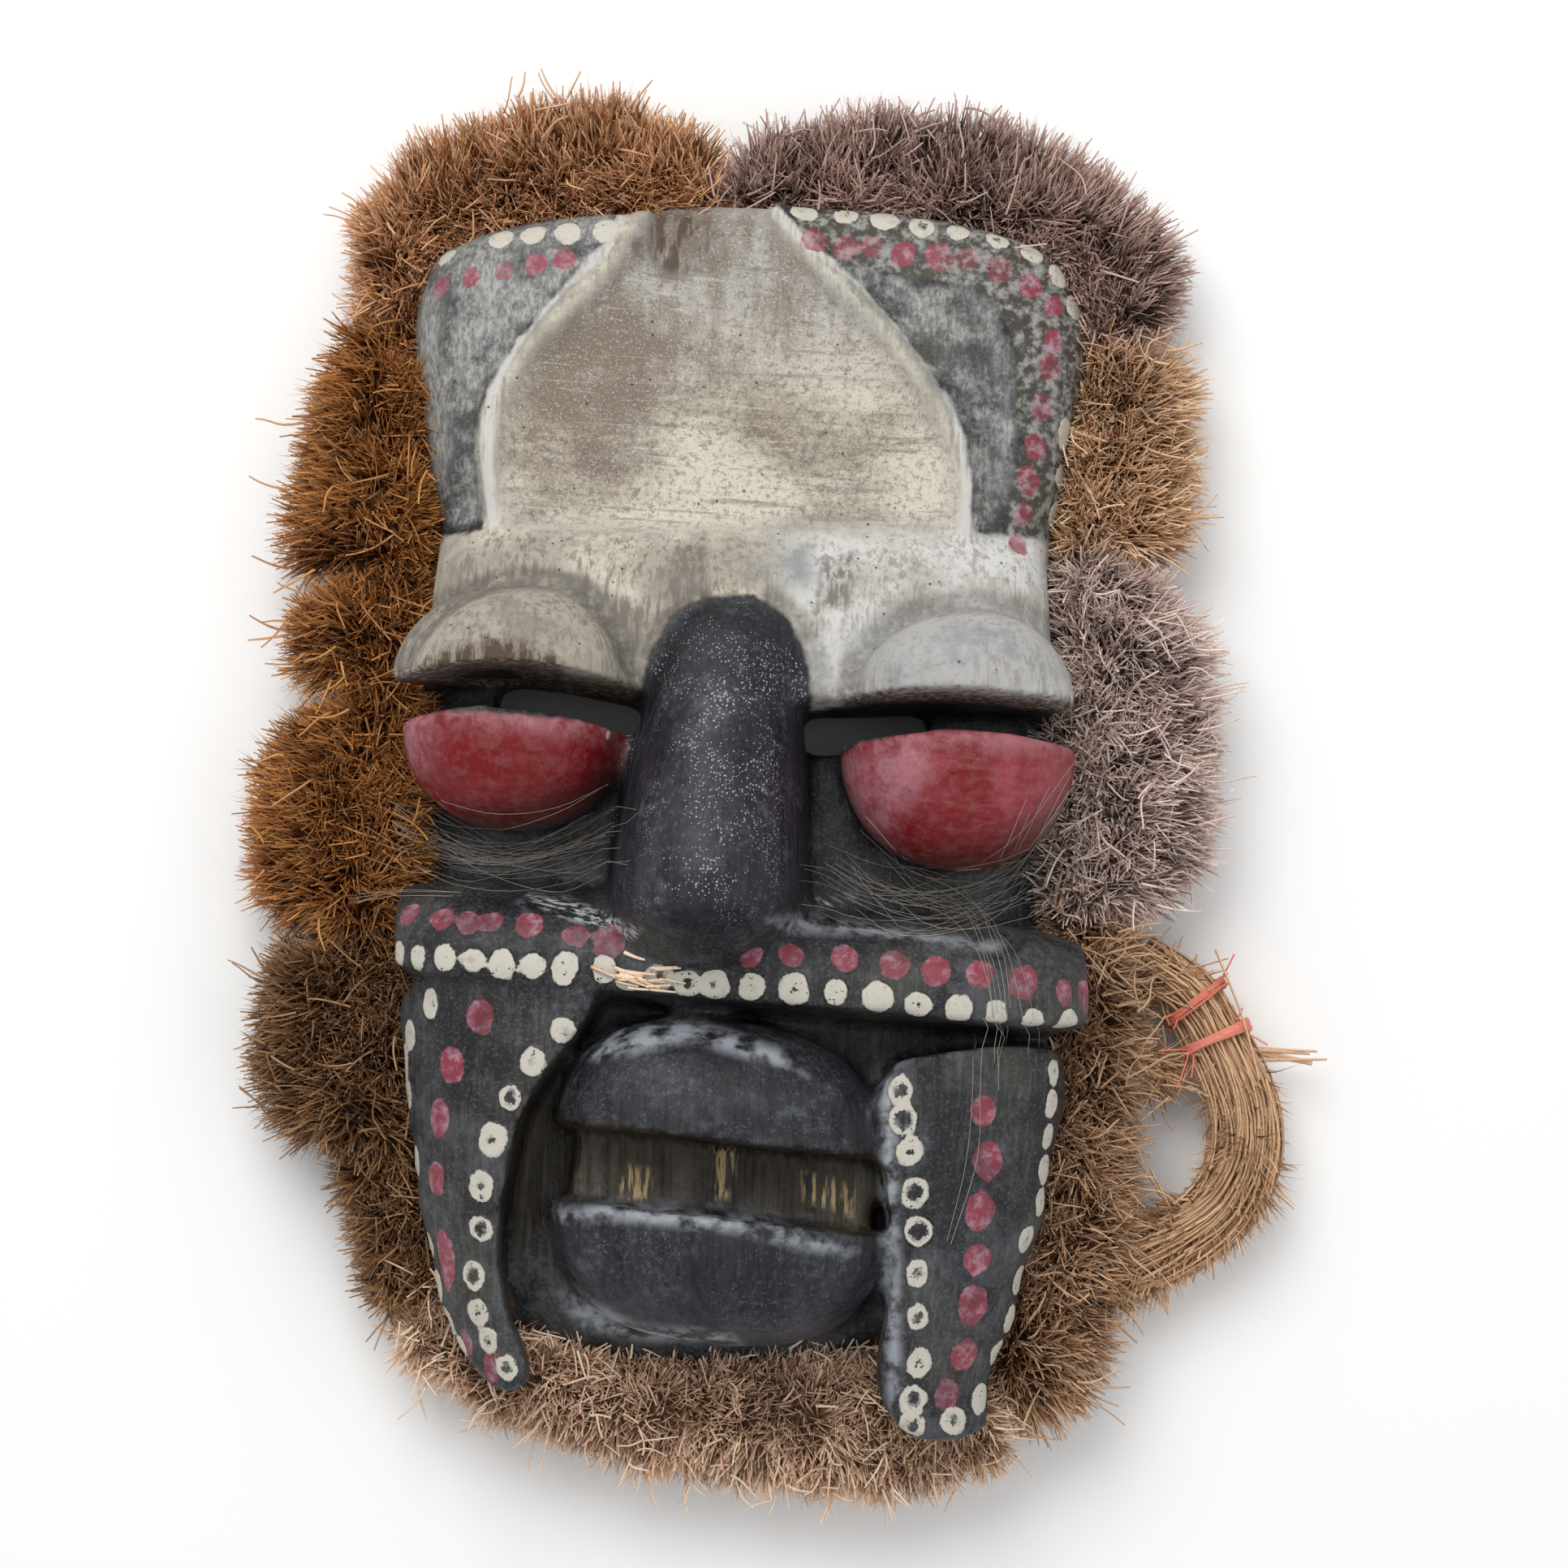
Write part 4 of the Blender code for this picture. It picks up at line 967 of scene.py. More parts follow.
    def build(self) -> bpy.types.Material:
        """Lay every coat in its order and set the shader's roughness and relief.

        Returns:
            The finished material.
        """
        self.black_coat()
        self.mouth_cuts()
        self.washes()
        self.cream_coat()
        self.field_coat()
        self.red_coat()
        self.blue_black_coat()
        self.dust()
        self.dot_rows()
        self.hollow_darkening()
        nodes, shader = self.nodes, self.shader
        nodes.feed(shader.inputs["Base Color"], self.colour)
        rough = nodes.mix_value(self.black, 0.78, nodes.ramp(self.small, 0.30, 0.75, 0.40, 0.66))
        rough = nodes.mix_value(nodes.larger(self.cream, self.field), rough, 0.80)
        rough = nodes.mix_value(self.red, rough, nodes.ramp(self.small, 0.35, 0.70, 0.36, 0.62))
        nodes.feed(shader.inputs["Roughness"], rough)
        shader.inputs["Specular IOR Level"].default_value = 0.30
        relief = nodes.blend((self.grain_lines, 0.40), (self.small, 0.55))
        relief = nodes.plus(relief, nodes.zone("white_dots", 0.0004, -0.0006, 0.0, 0.80))
        bump = nodes.add("ShaderNodeBump", {"Height": relief, "Distance": 0.0006, "Strength": 0.85})
        nodes.feed(shader.inputs["Normal"], bump.outputs[0])
        return self.material


@dataclass(frozen=True)
class FibreFinish:
    """Dry raffia fibre, with some strands paler than others: darker at the root, a painted shade deep
    in the hank, and paler at the tip, a painted highlight.
    """

    name: str
    root: Colour
    body: Colour
    pale: Colour
    rough: float = 0.46

    def build(self) -> bpy.types.Material:
        """Make the material, which reads the attributes tone and along."""
        nodes, shader, material = new_material(self.name)
        place = nodes.add("ShaderNodeTexCoord").outputs["Object"]
        tone = nodes.attribute("tone")
        along = nodes.attribute("along")
        colour = nodes.mix(nodes.ramp(tone, 0.12, 0.42), self.root, self.body)
        colour = nodes.mix(nodes.ramp(tone, 0.52, 0.86), colour, self.pale)
        # darker towards the root: painted shade deep in the hank
        colour = nodes.mix(nodes.ramp(along, 0.60, 0.0, 0.0, 0.90), colour, self.root)
        # paler towards the tip: a painted highlight
        colour = nodes.mix(nodes.ramp(along, 0.50, 0.95, 0.0, 0.60), colour, self.pale)
        streaks = nodes.noise(place, 900.0, 1.0, 0.6)
        colour = nodes.mix(nodes.ramp(streaks, 0.5, 0.8, 0.0, 0.30), colour, self.root)
        nodes.feed(shader.inputs["Base Color"], colour)
        nodes.feed(
            shader.inputs["Roughness"],
            nodes.ramp(streaks, 0.3, 0.7, self.rough - 0.08, self.rough + 0.1),
        )
        return material

    def build_core(self) -> bpy.types.Material:
        """Make the material of the packed fibre deep inside a hank, darker than the fibre: painted
        shade.
        """
        nodes, shader, material = new_material(f"{self.name}_core")
        place = nodes.add("ShaderNodeTexCoord").outputs["Object"]
        strands = nodes.noise(place, 420.0, 3.0, 0.7, 0.8)
        # darker than the root colour: painted shade
        dark = tuple(value * 0.45 for value in self.root)
        nodes.feed(
            shader.inputs["Base Color"], nodes.mix(nodes.ramp(strands, 0.42, 0.72), dark, self.root)
        )
        shader.inputs["Roughness"].default_value = 0.9
        return material


class Fibre(Enum):
    """The raffia colours of the ruff, and its thread and stray hair. Two are lit and shaded copies of
    the golden raffia: painted light for the top hank and painted shade for the low left.
    """

    # the golden raffia made brighter for the top hank: painted light
    CROWN = FibreFinish(
        "lit_golden_fibre", (0.074, 0.022, 0.006), (0.386, 0.150, 0.055), (0.810, 0.482, 0.267)
    )
    GOLDEN = FibreFinish(
        "golden_fibre", (0.049, 0.014, 0.004), (0.304, 0.101, 0.022), (0.644, 0.312, 0.104)
    )
    # the golden raffia made darker for the low left hanks: painted shade
    AMBER = FibreFinish(
        "shaded_golden_fibre", (0.034, 0.013, 0.005), (0.170, 0.075, 0.028), (0.440, 0.250, 0.125)
    )
    DARK = FibreFinish(
        "dark_fibre", (0.037, 0.021, 0.017), (0.248, 0.149, 0.120), (0.699, 0.486, 0.414)
    )
    ORANGE = FibreFinish(
        "orange_fibre", (0.120, 0.052, 0.020), (0.560, 0.300, 0.150), (0.900, 0.660, 0.440)
    )
    GREY = FibreFinish(
        "grey_fibre", (0.100, 0.064, 0.054), (0.540, 0.385, 0.340), (0.950, 0.790, 0.710)
    )
    STRAW = FibreFinish(
        "straw_fibre", (0.077, 0.031, 0.013), (0.297, 0.150, 0.071), (0.702, 0.464, 0.292)
    )
    BUNDLE = FibreFinish(
        "bundle_fibre", (0.104, 0.044, 0.021), (0.374, 0.197, 0.101), (0.748, 0.492, 0.290)
    )
    BROWN = FibreFinish(
        "brown_fibre", (0.240, 0.140, 0.086), (0.640, 0.400, 0.255), (0.950, 0.740, 0.560)
    )
    THREAD = FibreFinish(
        "red_thread", (0.360, 0.045, 0.030), (0.620, 0.110, 0.075), (0.780, 0.260, 0.190), 0.7
    )
    HAIR = FibreFinish(
        "stray_hair", (0.130, 0.106, 0.086), (0.220, 0.190, 0.158), (0.400, 0.360, 0.320), 0.5
    )


# Geometry trees

# The shapes that a clipped fibre may have: its parts, the width of its tip, and its bend in radii
FIBRE_SHAPES = ((2, 0.0, 15.0), (1, 0.0, 0.0), (2, 0.0, 8.0), (1, 0.5, 0.0))


class FibreTrees:
    """The geometry trees that make fibre: bristles on a surface, and tubes along lines."""

    def __init__(self) -> None:
        """Build both trees."""
        self.bristles = self.build_bristles()
        self.tubes = self.build_tubes()

    def random(self, nodes: Nodes, low: float, high: float, seed: object) -> Output:
        """Add a random number for each point."""
        inputs = {"Min_001": low, "Max_001": high, "Seed": seed}
        return nodes.add("FunctionNodeRandomValue", inputs, data_type="FLOAT").outputs[1]

    def named(self, nodes: Nodes, name: str, kind: str = "FLOAT") -> Output:
        """Read an attribute that the geometry carries."""
        return nodes.add("GeometryNodeInputNamedAttribute", {"Name": name}, data_type=kind).outputs[0]

    def kept(self, nodes: Nodes, geometry: object, name: str, value: object) -> Output:
        """Keep a number on each point under a name."""
        inputs = {"Geometry": geometry, "Name": name, "Value": value}
        settings = {"data_type": "FLOAT", "domain": "POINT"}
        return nodes.add("GeometryNodeStoreNamedAttribute", inputs, **settings).outputs[0]

    def finish(self, nodes: Nodes, end: bpy.types.Node, geometry: object, material: object) -> None:
        """End a tree in Realize Instances and Set Material."""
        real = nodes.add("GeometryNodeRealizeInstances", {"Geometry": geometry}).outputs[0]
        done = nodes.add("GeometryNodeSetMaterial", {"Geometry": real, "Material": material}).outputs[0]
        nodes.feed(end.inputs["Geometry"], done)

    def build_bristles(self) -> bpy.types.NodeTree:
        """Stiff fibres rooted on a surface, leaning outward in tufts.

        Returns:
            The tree. The surface carries outward, a direction, and cover, the share of fibres.
        """
        inputs = {
            "Geometry": Socket.GEOMETRY,
            "Material": Socket.MATERIAL,
            "Density": Socket.NUMBER,
            "Length": Socket.NUMBER,
            "Radius": Socket.NUMBER,
            "Lift": Socket.NUMBER,
            "Normal Share": Socket.NUMBER,
            "Tuft": Socket.NUMBER,
            "Tuft Scale": Socket.NUMBER,
            "Jitter": Socket.NUMBER,
            "Seed": Socket.WHOLE,
        }
        nodes, given, end = new_tree(
            "raffia_bristles", "GeometryNodeTree", inputs, {"Geometry": Socket.GEOMETRY}
        )
        density = nodes.times(given["Density"], self.named(nodes, "cover"))
        spread = nodes.add(
            "GeometryNodeDistributePointsOnFaces",
            {"Mesh": given["Geometry"], "Density": density, "Seed": given["Seed"]},
            distribute_method="RANDOM",
        )
        place = nodes.add("GeometryNodeInputPosition").outputs[0]
        outward = self.named(nodes, "outward", "FLOAT_VECTOR")
        inputs = {"Vector": place, "Scale": given["Tuft Scale"], "Detail": 2.0, "Roughness": 0.5}
        swirl = nodes.add("ShaderNodeTexNoise", inputs).outputs[1]
        swirl = nodes.vector("SUBTRACT", swirl, (0.5, 0.5, 0.5))
        swirl = nodes.scaled(nodes.vector("MULTIPLY", swirl, (2.6, 2.6, 0.9)), given["Tuft"])
        shake = nodes.add(
            "FunctionNodeRandomValue",
            {"Min": (-1, -1, -0.8), "Max": (1, 1, 0.8), "Seed": 3},
            data_type="FLOAT_VECTOR",
        ).outputs[0]
        shake = nodes.scaled(shake, given["Jitter"])
        lift = nodes.add("ShaderNodeCombineXYZ", {"Z": given["Lift"]}).outputs[0]
        lean = nodes.vector(
            "ADD", outward, nodes.scaled(spread.outputs["Normal"], given["Normal Share"])
        )
        lean = nodes.vector("ADD", lean, lift)
        lean = nodes.vector("NORMALIZE", nodes.vector("ADD", nodes.vector("ADD", lean, swirl), shake))
        patch = nodes.ramp(nodes.noise(place, 62.0, 3.0), 0.34, 0.66, 0.0, 0.46)
        tone = nodes.plus(patch, self.random(nodes, -0.10, 0.60, 5))
        points = self.kept(nodes, spread.outputs["Points"], "tone", tone)
        tuft_length = nodes.ramp(nodes.noise(place, 70.0, 2.0), 0.36, 0.64, 0.66, 1.10)
        reach = nodes.times(given["Length"], self.random(nodes, 0.70, 1.08, 9))
        reach = nodes.times(reach, tuft_length)
        size = nodes.add(
            "ShaderNodeCombineXYZ", {0: given["Radius"], 1: given["Radius"], 2: reach}
        ).outputs[0]
        spin = self.random(nodes, 0.0, 2 * math.pi, 13)
        spin = nodes.add(
            "FunctionNodeAxisAngleToRotation", {"Axis": (0, 0, 1), "Angle": spin}
        ).outputs[0]
        inputs = {"Rotation": spin, "Vector": lean}
        turn = nodes.add("FunctionNodeAlignRotationToVector", inputs, axis="Z").outputs[0]
        shapes = nodes.add("GeometryNodeJoinGeometry")
        for parts, tip, bend in FIBRE_SHAPES:
            self.tree_link(nodes, self.fibre_shape(nodes, parts, tip, bend), shapes.inputs[0])
        inputs = {"Min_002": 0, "Max_002": len(FIBRE_SHAPES) - 1, "Seed": 17}
        choice = nodes.add("FunctionNodeRandomValue", inputs, data_type="INT").outputs[2]
        inputs = {"Points": points, "Instance": shapes.outputs[0], "Rotation": turn, "Scale": size}
        inputs.update({"Pick Instance": True, "Instance Index": choice})
        fibres = nodes.add("GeometryNodeInstanceOnPoints", inputs).outputs[0]
        fibres = nodes.add("GeometryNodeRealizeInstances", {"Geometry": fibres}).outputs[0]
        here = nodes.add("GeometryNodeInputPosition").outputs[0]
        parts = nodes.add("ShaderNodeSeparateXYZ", {0: here})
        above = nodes.larger(parts.outputs[2], FIBRE_FLOOR)
        kept = nodes.add(
            "ShaderNodeCombineXYZ", {0: parts.outputs[0], 1: parts.outputs[1], 2: above}
        ).outputs[0]
        fibres = nodes.add("GeometryNodeSetPosition", {"Geometry": fibres, "Position": kept}).outputs[0]
        self.finish(nodes, end, fibres, given["Material"])
        return nodes.tree

    def tree_link(self, nodes: Nodes, output: object, socket: Output) -> None:
        """Link one more output to an input that takes several."""
        nodes.tree.links.new(output, socket)

    def fibre_shape(self, nodes: Nodes, parts: int, tip: float, bend: float) -> Output:
        """Make one fibre of unit radius and length as an instance.

        Args:
            nodes: The tree's helper.
            parts: How many parts it has along its length.
            tip: The radius at its end.
            bend: How far its end bends aside, in radii.

        Returns:
            The fibre, which carries along, the share of its length.
        """
        cone = nodes.add(
            "GeometryNodeMeshCone",
            {
                "Vertices": 3,
                "Side Segments": parts,
                "Radius Top": tip,
                "Radius Bottom": 1.0,
                "Depth": 1.0,
            },
            fill_type="NGON",
        ).outputs[0]
        place = nodes.add("GeometryNodeInputPosition").outputs[0]
        height = nodes.add("ShaderNodeSeparateXYZ", {0: place}).outputs[2]
        cone = self.kept(nodes, cone, "along", height)
        aside = nodes.times(nodes.times(height, height), bend)
        offset = nodes.add("ShaderNodeCombineXYZ", {"X": aside}).outputs[0]
        cone = nodes.add("GeometryNodeSetPosition", {"Geometry": cone, "Offset": offset}).outputs[0]
        return nodes.add("GeometryNodeGeometryToInstance", {"Geometry": cone}).outputs[0]

    def swept(self, nodes: Nodes, curve: object, profile: object) -> Output:
        """Sweep a profile along curves, by their radius, and close the ends."""
        inputs = {"Curve": curve, "Profile Curve": profile, "Fill Caps": True}
        node = nodes.add("GeometryNodeCurveToMesh", inputs)
        if "Scale" in node.inputs:
            nodes.feed(node.inputs["Scale"], nodes.add("GeometryNodeInputRadius").outputs[0])
        return node.outputs[0]

    def build_tubes(self) -> bpy.types.NodeTree:
        """Round strands along lines of edges, as thick as their attribute girth says."""
        inputs = {"Geometry": Socket.GEOMETRY, "Material": Socket.MATERIAL, "Sides": Socket.WHOLE}
        nodes, given, end = new_tree(
            "strand_tubes", "GeometryNodeTree", inputs, {"Geometry": Socket.GEOMETRY}
        )
        curve = nodes.add("GeometryNodeMeshToCurve", {"Mesh": given["Geometry"]}).outputs[0]
        girth = self.named(nodes, "girth")
        curve = nodes.add("GeometryNodeSetCurveRadius", {"Curve": curve, "Radius": girth}).outputs[0]
        share = nodes.add("GeometryNodeSplineParameter").outputs["Factor"]
        # along runs from a half to 1 within the first twentieth, so the finish paints most of a strand
        # with the tip's painted highlight
        share = nodes.ramp(share, 0.0, 0.05, 0.5, 1.0)
        curve = self.kept(nodes, curve, "along", share)
        profile = nodes.add(
            "GeometryNodeCurvePrimitiveCircle", {
                "Resolution": given["Sides"], "Radius": 1.0
            }, mode="RADIUS"
        ).outputs[0]
        self.finish(nodes, end, self.swept(nodes, curve, profile), given["Material"])
        return nodes.tree


# The photograph's camera


@dataclass
class PhotoCamera:
    """The camera at the photograph's place, looking down on the lying mask."""

    shift: Vector
    tilt: float = math.radians(7.0)
    roll: float = math.radians(1.9)
    distance: float = 1.2
    focus: float = 4528.3
    middle: float = 966.0
    aim: tuple[float, float, float] = (0.01616, 0.00027, 0.060)
    right: Vector = field(init=False)
    up: Vector = field(init=False)
    back: Vector = field(init=False)
    eye: Vector = field(init=False)

    def __post_init__(self) -> None:
        """Work out the camera's axes and place."""
        side = Vector((1, 0, 0))
        ahead = Vector((0, math.cos(self.tilt), math.sin(self.tilt)))
        self.right = math.cos(self.roll) * side + math.sin(self.roll) * ahead
        self.up = -math.sin(self.roll) * side + math.cos(self.roll) * ahead
        self.back = Vector((0, -math.sin(self.tilt), math.cos(self.tilt)))
        self.eye = Vector(self.aim) + self.shift + self.back * self.distance

    def build(self) -> bpy.types.Object:
        """Put the camera in the scene."""
        data = bpy.data.cameras.new("camera")
        data.angle = 2 * math.atan(self.middle / self.focus)
        data.clip_start = 0.05
        data.clip_end = 20.0
        camera = bpy.data.objects.new("camera", data)
        axes = Matrix((self.right, self.up, self.back)).transposed().to_4x4()
        camera.matrix_world = Matrix.Translation(self.eye) @ axes
        bpy.context.scene.collection.objects.link(camera)
        bpy.context.scene.camera = camera
        return camera

    def ray(self, pixel: Pixel) -> Vector:
        """Find the direction from the camera through a pixel."""
        across = (pixel[0] - self.middle) / self.focus
        down = (pixel[1] - self.middle) / self.focus
        return (self.right * across - self.up * down - self.back).normalized()

    def pixels(self, points: np.ndarray) -> np.ndarray:
        """Find the pixels at which points show.

        Args:
            points: Points in space, one row each.

        Returns:
            Their pixels, one row each.
        """
        offset = points - np.array(self.eye)
        depth = -(offset @ np.array(self.back))
        across = offset @ np.array(self.right) / depth
        rise = offset @ np.array(self.up) / depth
        return np.column_stack([self.middle + self.focus * across, self.middle - self.focus * rise])

    def pixel_size(self) -> float:
        """Find the width of a pixel at the height of the mask's face."""
        return self.distance / self.focus


# Painted areas and dots, in the photograph's pixels


class Zone(Enum):
    """The painted areas, each with its outlines."""

    cream = (
        [
            (770, 248), (742, 300), (700, 345), (640, 418), (600, 478), (584, 540), (588, 600),
            (597, 652),
            (546, 662), (533, 700), (505, 748), (480, 800), (470, 836), (540, 842), (620, 846),
            (700, 856), (778, 864),
            (790, 850), (802, 800), (826, 758), (870, 735), (930, 733), (972, 762), (996, 820),
            (1000, 876),
            (1060, 868), (1130, 864), (1200, 866), (1290, 874), (1340, 884), (1334, 800), (1316, 730),
            (1302, 676),
            (1290, 664), (1196, 656), (1198, 600), (1192, 545), (1166, 488), (1110, 408), (1050, 342),
            (990, 286),
            (950, 246),
        ],
    )
    field = (
        [
            (800, 252), (764, 320), (716, 374), (660, 432), (628, 486), (612, 540), (616, 600),
            (630, 650),
            (820, 656), (1000, 650), (1178, 648), (1176, 592), (1166, 545), (1134, 480), (1080, 408),
            (1012, 338),
            (960, 286), (930, 252),
        ],
    )
    wash = (
        [
            (505, 300), (560, 285), (640, 275), (770, 250), (742, 300), (640, 418), (600, 478),
            (584, 540),
            (590, 640), (560, 650), (530, 600), (510, 500), (495, 400),
        ],
        [
            (990, 300), (1060, 330), (1130, 350), (1190, 352), (1222, 380), (1248, 440), (1250, 520),
            (1244, 600),
            (1236, 655), (1196, 656), (1198, 600), (1192, 545), (1166, 488), (1110, 408), (1050, 342),
        ],
    )
    edge_wash = (
        [(500, 340), (545, 360), (548, 430), (560, 560), (535, 600), (505, 520), (492, 420)],
        [(500, 320), (560, 290), (765, 255), (752, 296), (560, 320), (520, 350)],
        [(1206, 380), (1234, 400), (1250, 520), (1240, 600), (1226, 590), (1236, 500)],
    )
    border = (
        [
            (975, 236), (1180, 250), (1300, 270), (1350, 340), (1352, 420), (1345, 560), (1330, 670),
            (1240, 668),
            (1246, 600), (1262, 545), (1250, 520), (1254, 450), (1240, 400), (1212, 352), (1150, 346),
            (1080, 334),
            (1010, 306), (985, 285),
        ],
    )
    red = (
        [
            (486, 884), (560, 876), (640, 880), (720, 888), (772, 902), (776, 940), (748, 985),
            (690, 1012),
            (620, 1022), (556, 1012), (512, 975), (490, 925),
        ],
        [
            (1026, 940), (1060, 915), (1120, 902), (1200, 899), (1280, 902), (1345, 908), (1345, 960),
            (1322, 1010),
            (1280, 1046), (1226, 1068), (1150, 1076), (1090, 1050), (1046, 1005),
        ],
    )
    blue_black = (
        [
            (690, 1376), (704, 1310), (740, 1264), (820, 1250), (960, 1285), (1086, 1310),
            (1090, 1416), (960, 1408),
            (800, 1390),
        ],
        [
            (672, 1482), (780, 1480), (940, 1494), (1092, 1530), (1094, 1610), (1040, 1640),
            (940, 1662), (840, 1656),
            (740, 1616), (690, 1550),
        ],
        [
            (838, 752), (900, 728), (958, 748), (994, 800), (1002, 870), (1004, 1000), (1002, 1110),
            (960, 1126),
            (900, 1160), (826, 1146), (746, 1118), (742, 1050), (762, 950), (786, 850),
        ],
    )
    mouth = (
        [
            (640, 1350), (690, 1365), (800, 1388), (900, 1408), (1000, 1420), (1090, 1412),
            (1092, 1500),
            (1060, 1532), (1000, 1505), (900, 1484), (800, 1476), (680, 1474), (640, 1560), (628, 1460),
        ],
    )
    teeth = (
        [(762, 1432), (806, 1440), (806, 1482), (762, 1478)],
        [(874, 1412), (908, 1416), (904, 1478), (876, 1478)],
        [(984, 1440), (1056, 1460), (1050, 1500), (990, 1480)],
    )
    # chalk dust, partly painted highlight on the lips' and band's top edges and painted light on the
    # right panel's inner wall
    dusty = (
        [
            (1082, 1320), (1106, 1330), (1110, 1500), (1112, 1650), (1112, 1750), (1094, 1756),
            (1086, 1600), (1082, 1450),
        ],
        [
            (700, 1300), (760, 1262), (850, 1252), (960, 1290), (1000, 1330), (960, 1318), (850, 1285),
            (740, 1310),
        ],
        [
            (940, 1130), (1000, 1124), (1060, 1136), (1240, 1160), (1230, 1176), (1060, 1154),
            (950, 1150),
        ],
        [
            (680, 1490), (760, 1480), (940, 1500), (1060, 1540), (1040, 1552), (900, 1520),
            (740, 1504), (690, 1512),
        ],
        [(680, 1600), (720, 1640), (800, 1655), (920, 1658), (900, 1640), (780, 1630), (700, 1580)],
    )
    soiled = (
        [
            (490, 836), (512, 790), (550, 745), (600, 716), (650, 712), (700, 722), (740, 750),
            (770, 800), (780, 850),
            (700, 850), (620, 842), (540, 838),
        ],
        [
            (790, 668), (1000, 668), (1010, 720), (960, 736), (900, 722), (840, 742), (800, 760),
            (780, 720),
        ],
        [(560, 668), (700, 668), (700, 700), (640, 700), (580, 712), (540, 748), (536, 700)],
        [
            (1052, 850), (1066, 800), (1110, 765), (1170, 756), (1240, 760), (1290, 784), (1326, 840),
            (1200, 866),
        ],
    )
    # chalk bloom on the lower lids, partly a painted highlight on their left and top edges
    red_bloom = (
        [(488, 884), (532, 880), (540, 905), (524, 950), (500, 936)],
        [(520, 878), (640, 882), (720, 890), (770, 902), (700, 902), (600, 892)],
        [(1030, 940), (1060, 918), (1130, 905), (1150, 940), (1120, 990), (1080, 1040), (1044, 1000)],
        [(1120, 904), (1330, 908), (1330, 922), (1140, 918)],
    )
    red_shade = (
        [
            (520, 1030), (560, 996), (640, 990), (720, 960), (768, 900), (790, 960), (740, 1030),
            (620, 1050),
        ],
        [
            (1050, 1030), (1120, 1050), (1220, 1040), (1300, 990), (1340, 960), (1350, 1060),
            (1150, 1110),
        ],
    )
    scrape = (
        [(650, 1102), (700, 1108), (740, 1126), (790, 1146), (780, 1156), (730, 1140), (680, 1124)],
        [(1008, 1106), (1050, 1104), (1052, 1116), (1010, 1118)],
    )
    smear = (
        [(832, 672), (872, 656), (872, 722), (840, 742), (812, 744)],
        [(1012, 690), (1056, 678), (1050, 744), (1006, 756)],
        [(744, 742), (776, 736), (800, 760), (790, 800), (770, 790)],
        [(640, 700), (730, 712), (766, 744), (700, 722)],
    )
    bare = (
        [
            (500, 830), (545, 806), (580, 794), (620, 788), (660, 796), (694, 820), (700, 880),
            (640, 880), (500, 870),
        ],
        [(478, 830), (520, 826), (560, 838), (560, 856), (478, 850)],
        [(700, 836), (790, 846), (790, 868), (700, 862)],
        [(1040, 858), (1140, 850), (1240, 858), (1330, 864), (1340, 890), (1040, 876)],
    )
    cool = ([(940, 640), (1400, 640), (1400, 1100), (980, 1100), (1000, 880)],)
    brown_patch = (
        [
            (630, 500), (700, 420), (780, 390), (800, 470), (770, 540), (780, 600), (740, 645),
            (640, 640),
        ],
        [(960, 560), (1060, 560), (1080, 630), (980, 640)],
    )
    top_brown = (
        [(800, 250), (880, 262), (884, 330), (820, 350), (790, 310)],
        [(760, 290), (800, 290), (790, 330)],
    )


@dataclass(frozen=True)
class DotRow:
    """A row of painted dots.

    Attributes:
        name: Which row it is.
        pixels: The dots' middles.
        radius: The dots' usual radius.
        hollow: How chipped their middles are, from 0 to 1.
        tall: How much longer than wide they are.
    """

    name: str
    pixels: tuple[Pixel, ...]
    radius: float = 0.0042
    hollow: float = 0.0
    tall: float = 1.1


WHITE_ROWS = (
    DotRow("chips on the left lid", ((750, 905), (755, 898)), 0.0019),
    DotRow(
        "plate top left",
        ((550, 316), (617, 294), (657, 289), (699, 287), (746, 283), (500, 450), (503, 502)),
        0.0045,
    ),
    DotRow(
        "plate top right",
        (
            (991, 261), (1043, 265), (1090, 270), (1137, 279), (1181, 285), (1229, 296), (1271, 310),
            (1305, 339),
            (1324, 379), (1313, 535), (1307, 589), (1299, 633),
        ),
        0.0046,
        0.35,
    ),
    DotRow(
        "band left",
        (
            (491, 1176), (515, 1181), (548, 1181), (584, 1182), (618, 1188), (657, 1190), (696, 1193),
            (745, 1195),
        ),
        0.0044,
        0.05,
        1.15,
    ),
    DotRow("band middle", ((774, 1209), (814, 1203), (848, 1212), (880, 1213)), 0.0050, 0.55, 0.9),
    DotRow(
        "band right",
        (
            (926, 1216), (979, 1220), (1030, 1223), (1082, 1229), (1132, 1239), (1182, 1245),
            (1228, 1250),
            (1272, 1258), (1313, 1263),
        ),
        0.0047,
        0.20,
    ),
    DotRow(
        "left panel inner",
        (
            (695, 1271), (656, 1307), (628, 1353), (606, 1404), (592, 1462), (592, 1514), (583, 1572),
            (588, 1617),
            (601, 1652), (624, 1686),
        ),
        0.0045,
        0.75,
    ),
    DotRow(
        "left panel outer",
        (
            (530, 1237), (505, 1275), (495, 1312), (492, 1358), (498, 1451), (517, 1554), (532, 1598),
            (550, 1637),
            (567, 1668),
        ),
        0.0040,
        0.15,
        1.45,
    ),
    DotRow(
        "right panel inner",
        (
            (1109, 1344), (1113, 1380), (1121, 1419), (1127, 1470), (1132, 1517), (1130, 1569),
            (1131, 1624),
            (1133, 1679), (1126, 1724), (1125, 1757), (1175, 1750),
        ),
        0.0046,
        0.85,
    ),
    DotRow(
        "right panel outer",
        (
            (1299, 1322), (1297, 1360), (1291, 1400), (1287, 1441), (1283, 1480), (1264, 1528),
            (1255, 1577),
            (1245, 1625), (1232, 1674), (1208, 1724),
        ),
        0.0043,
        0.35,
        1.2,
    ),
)

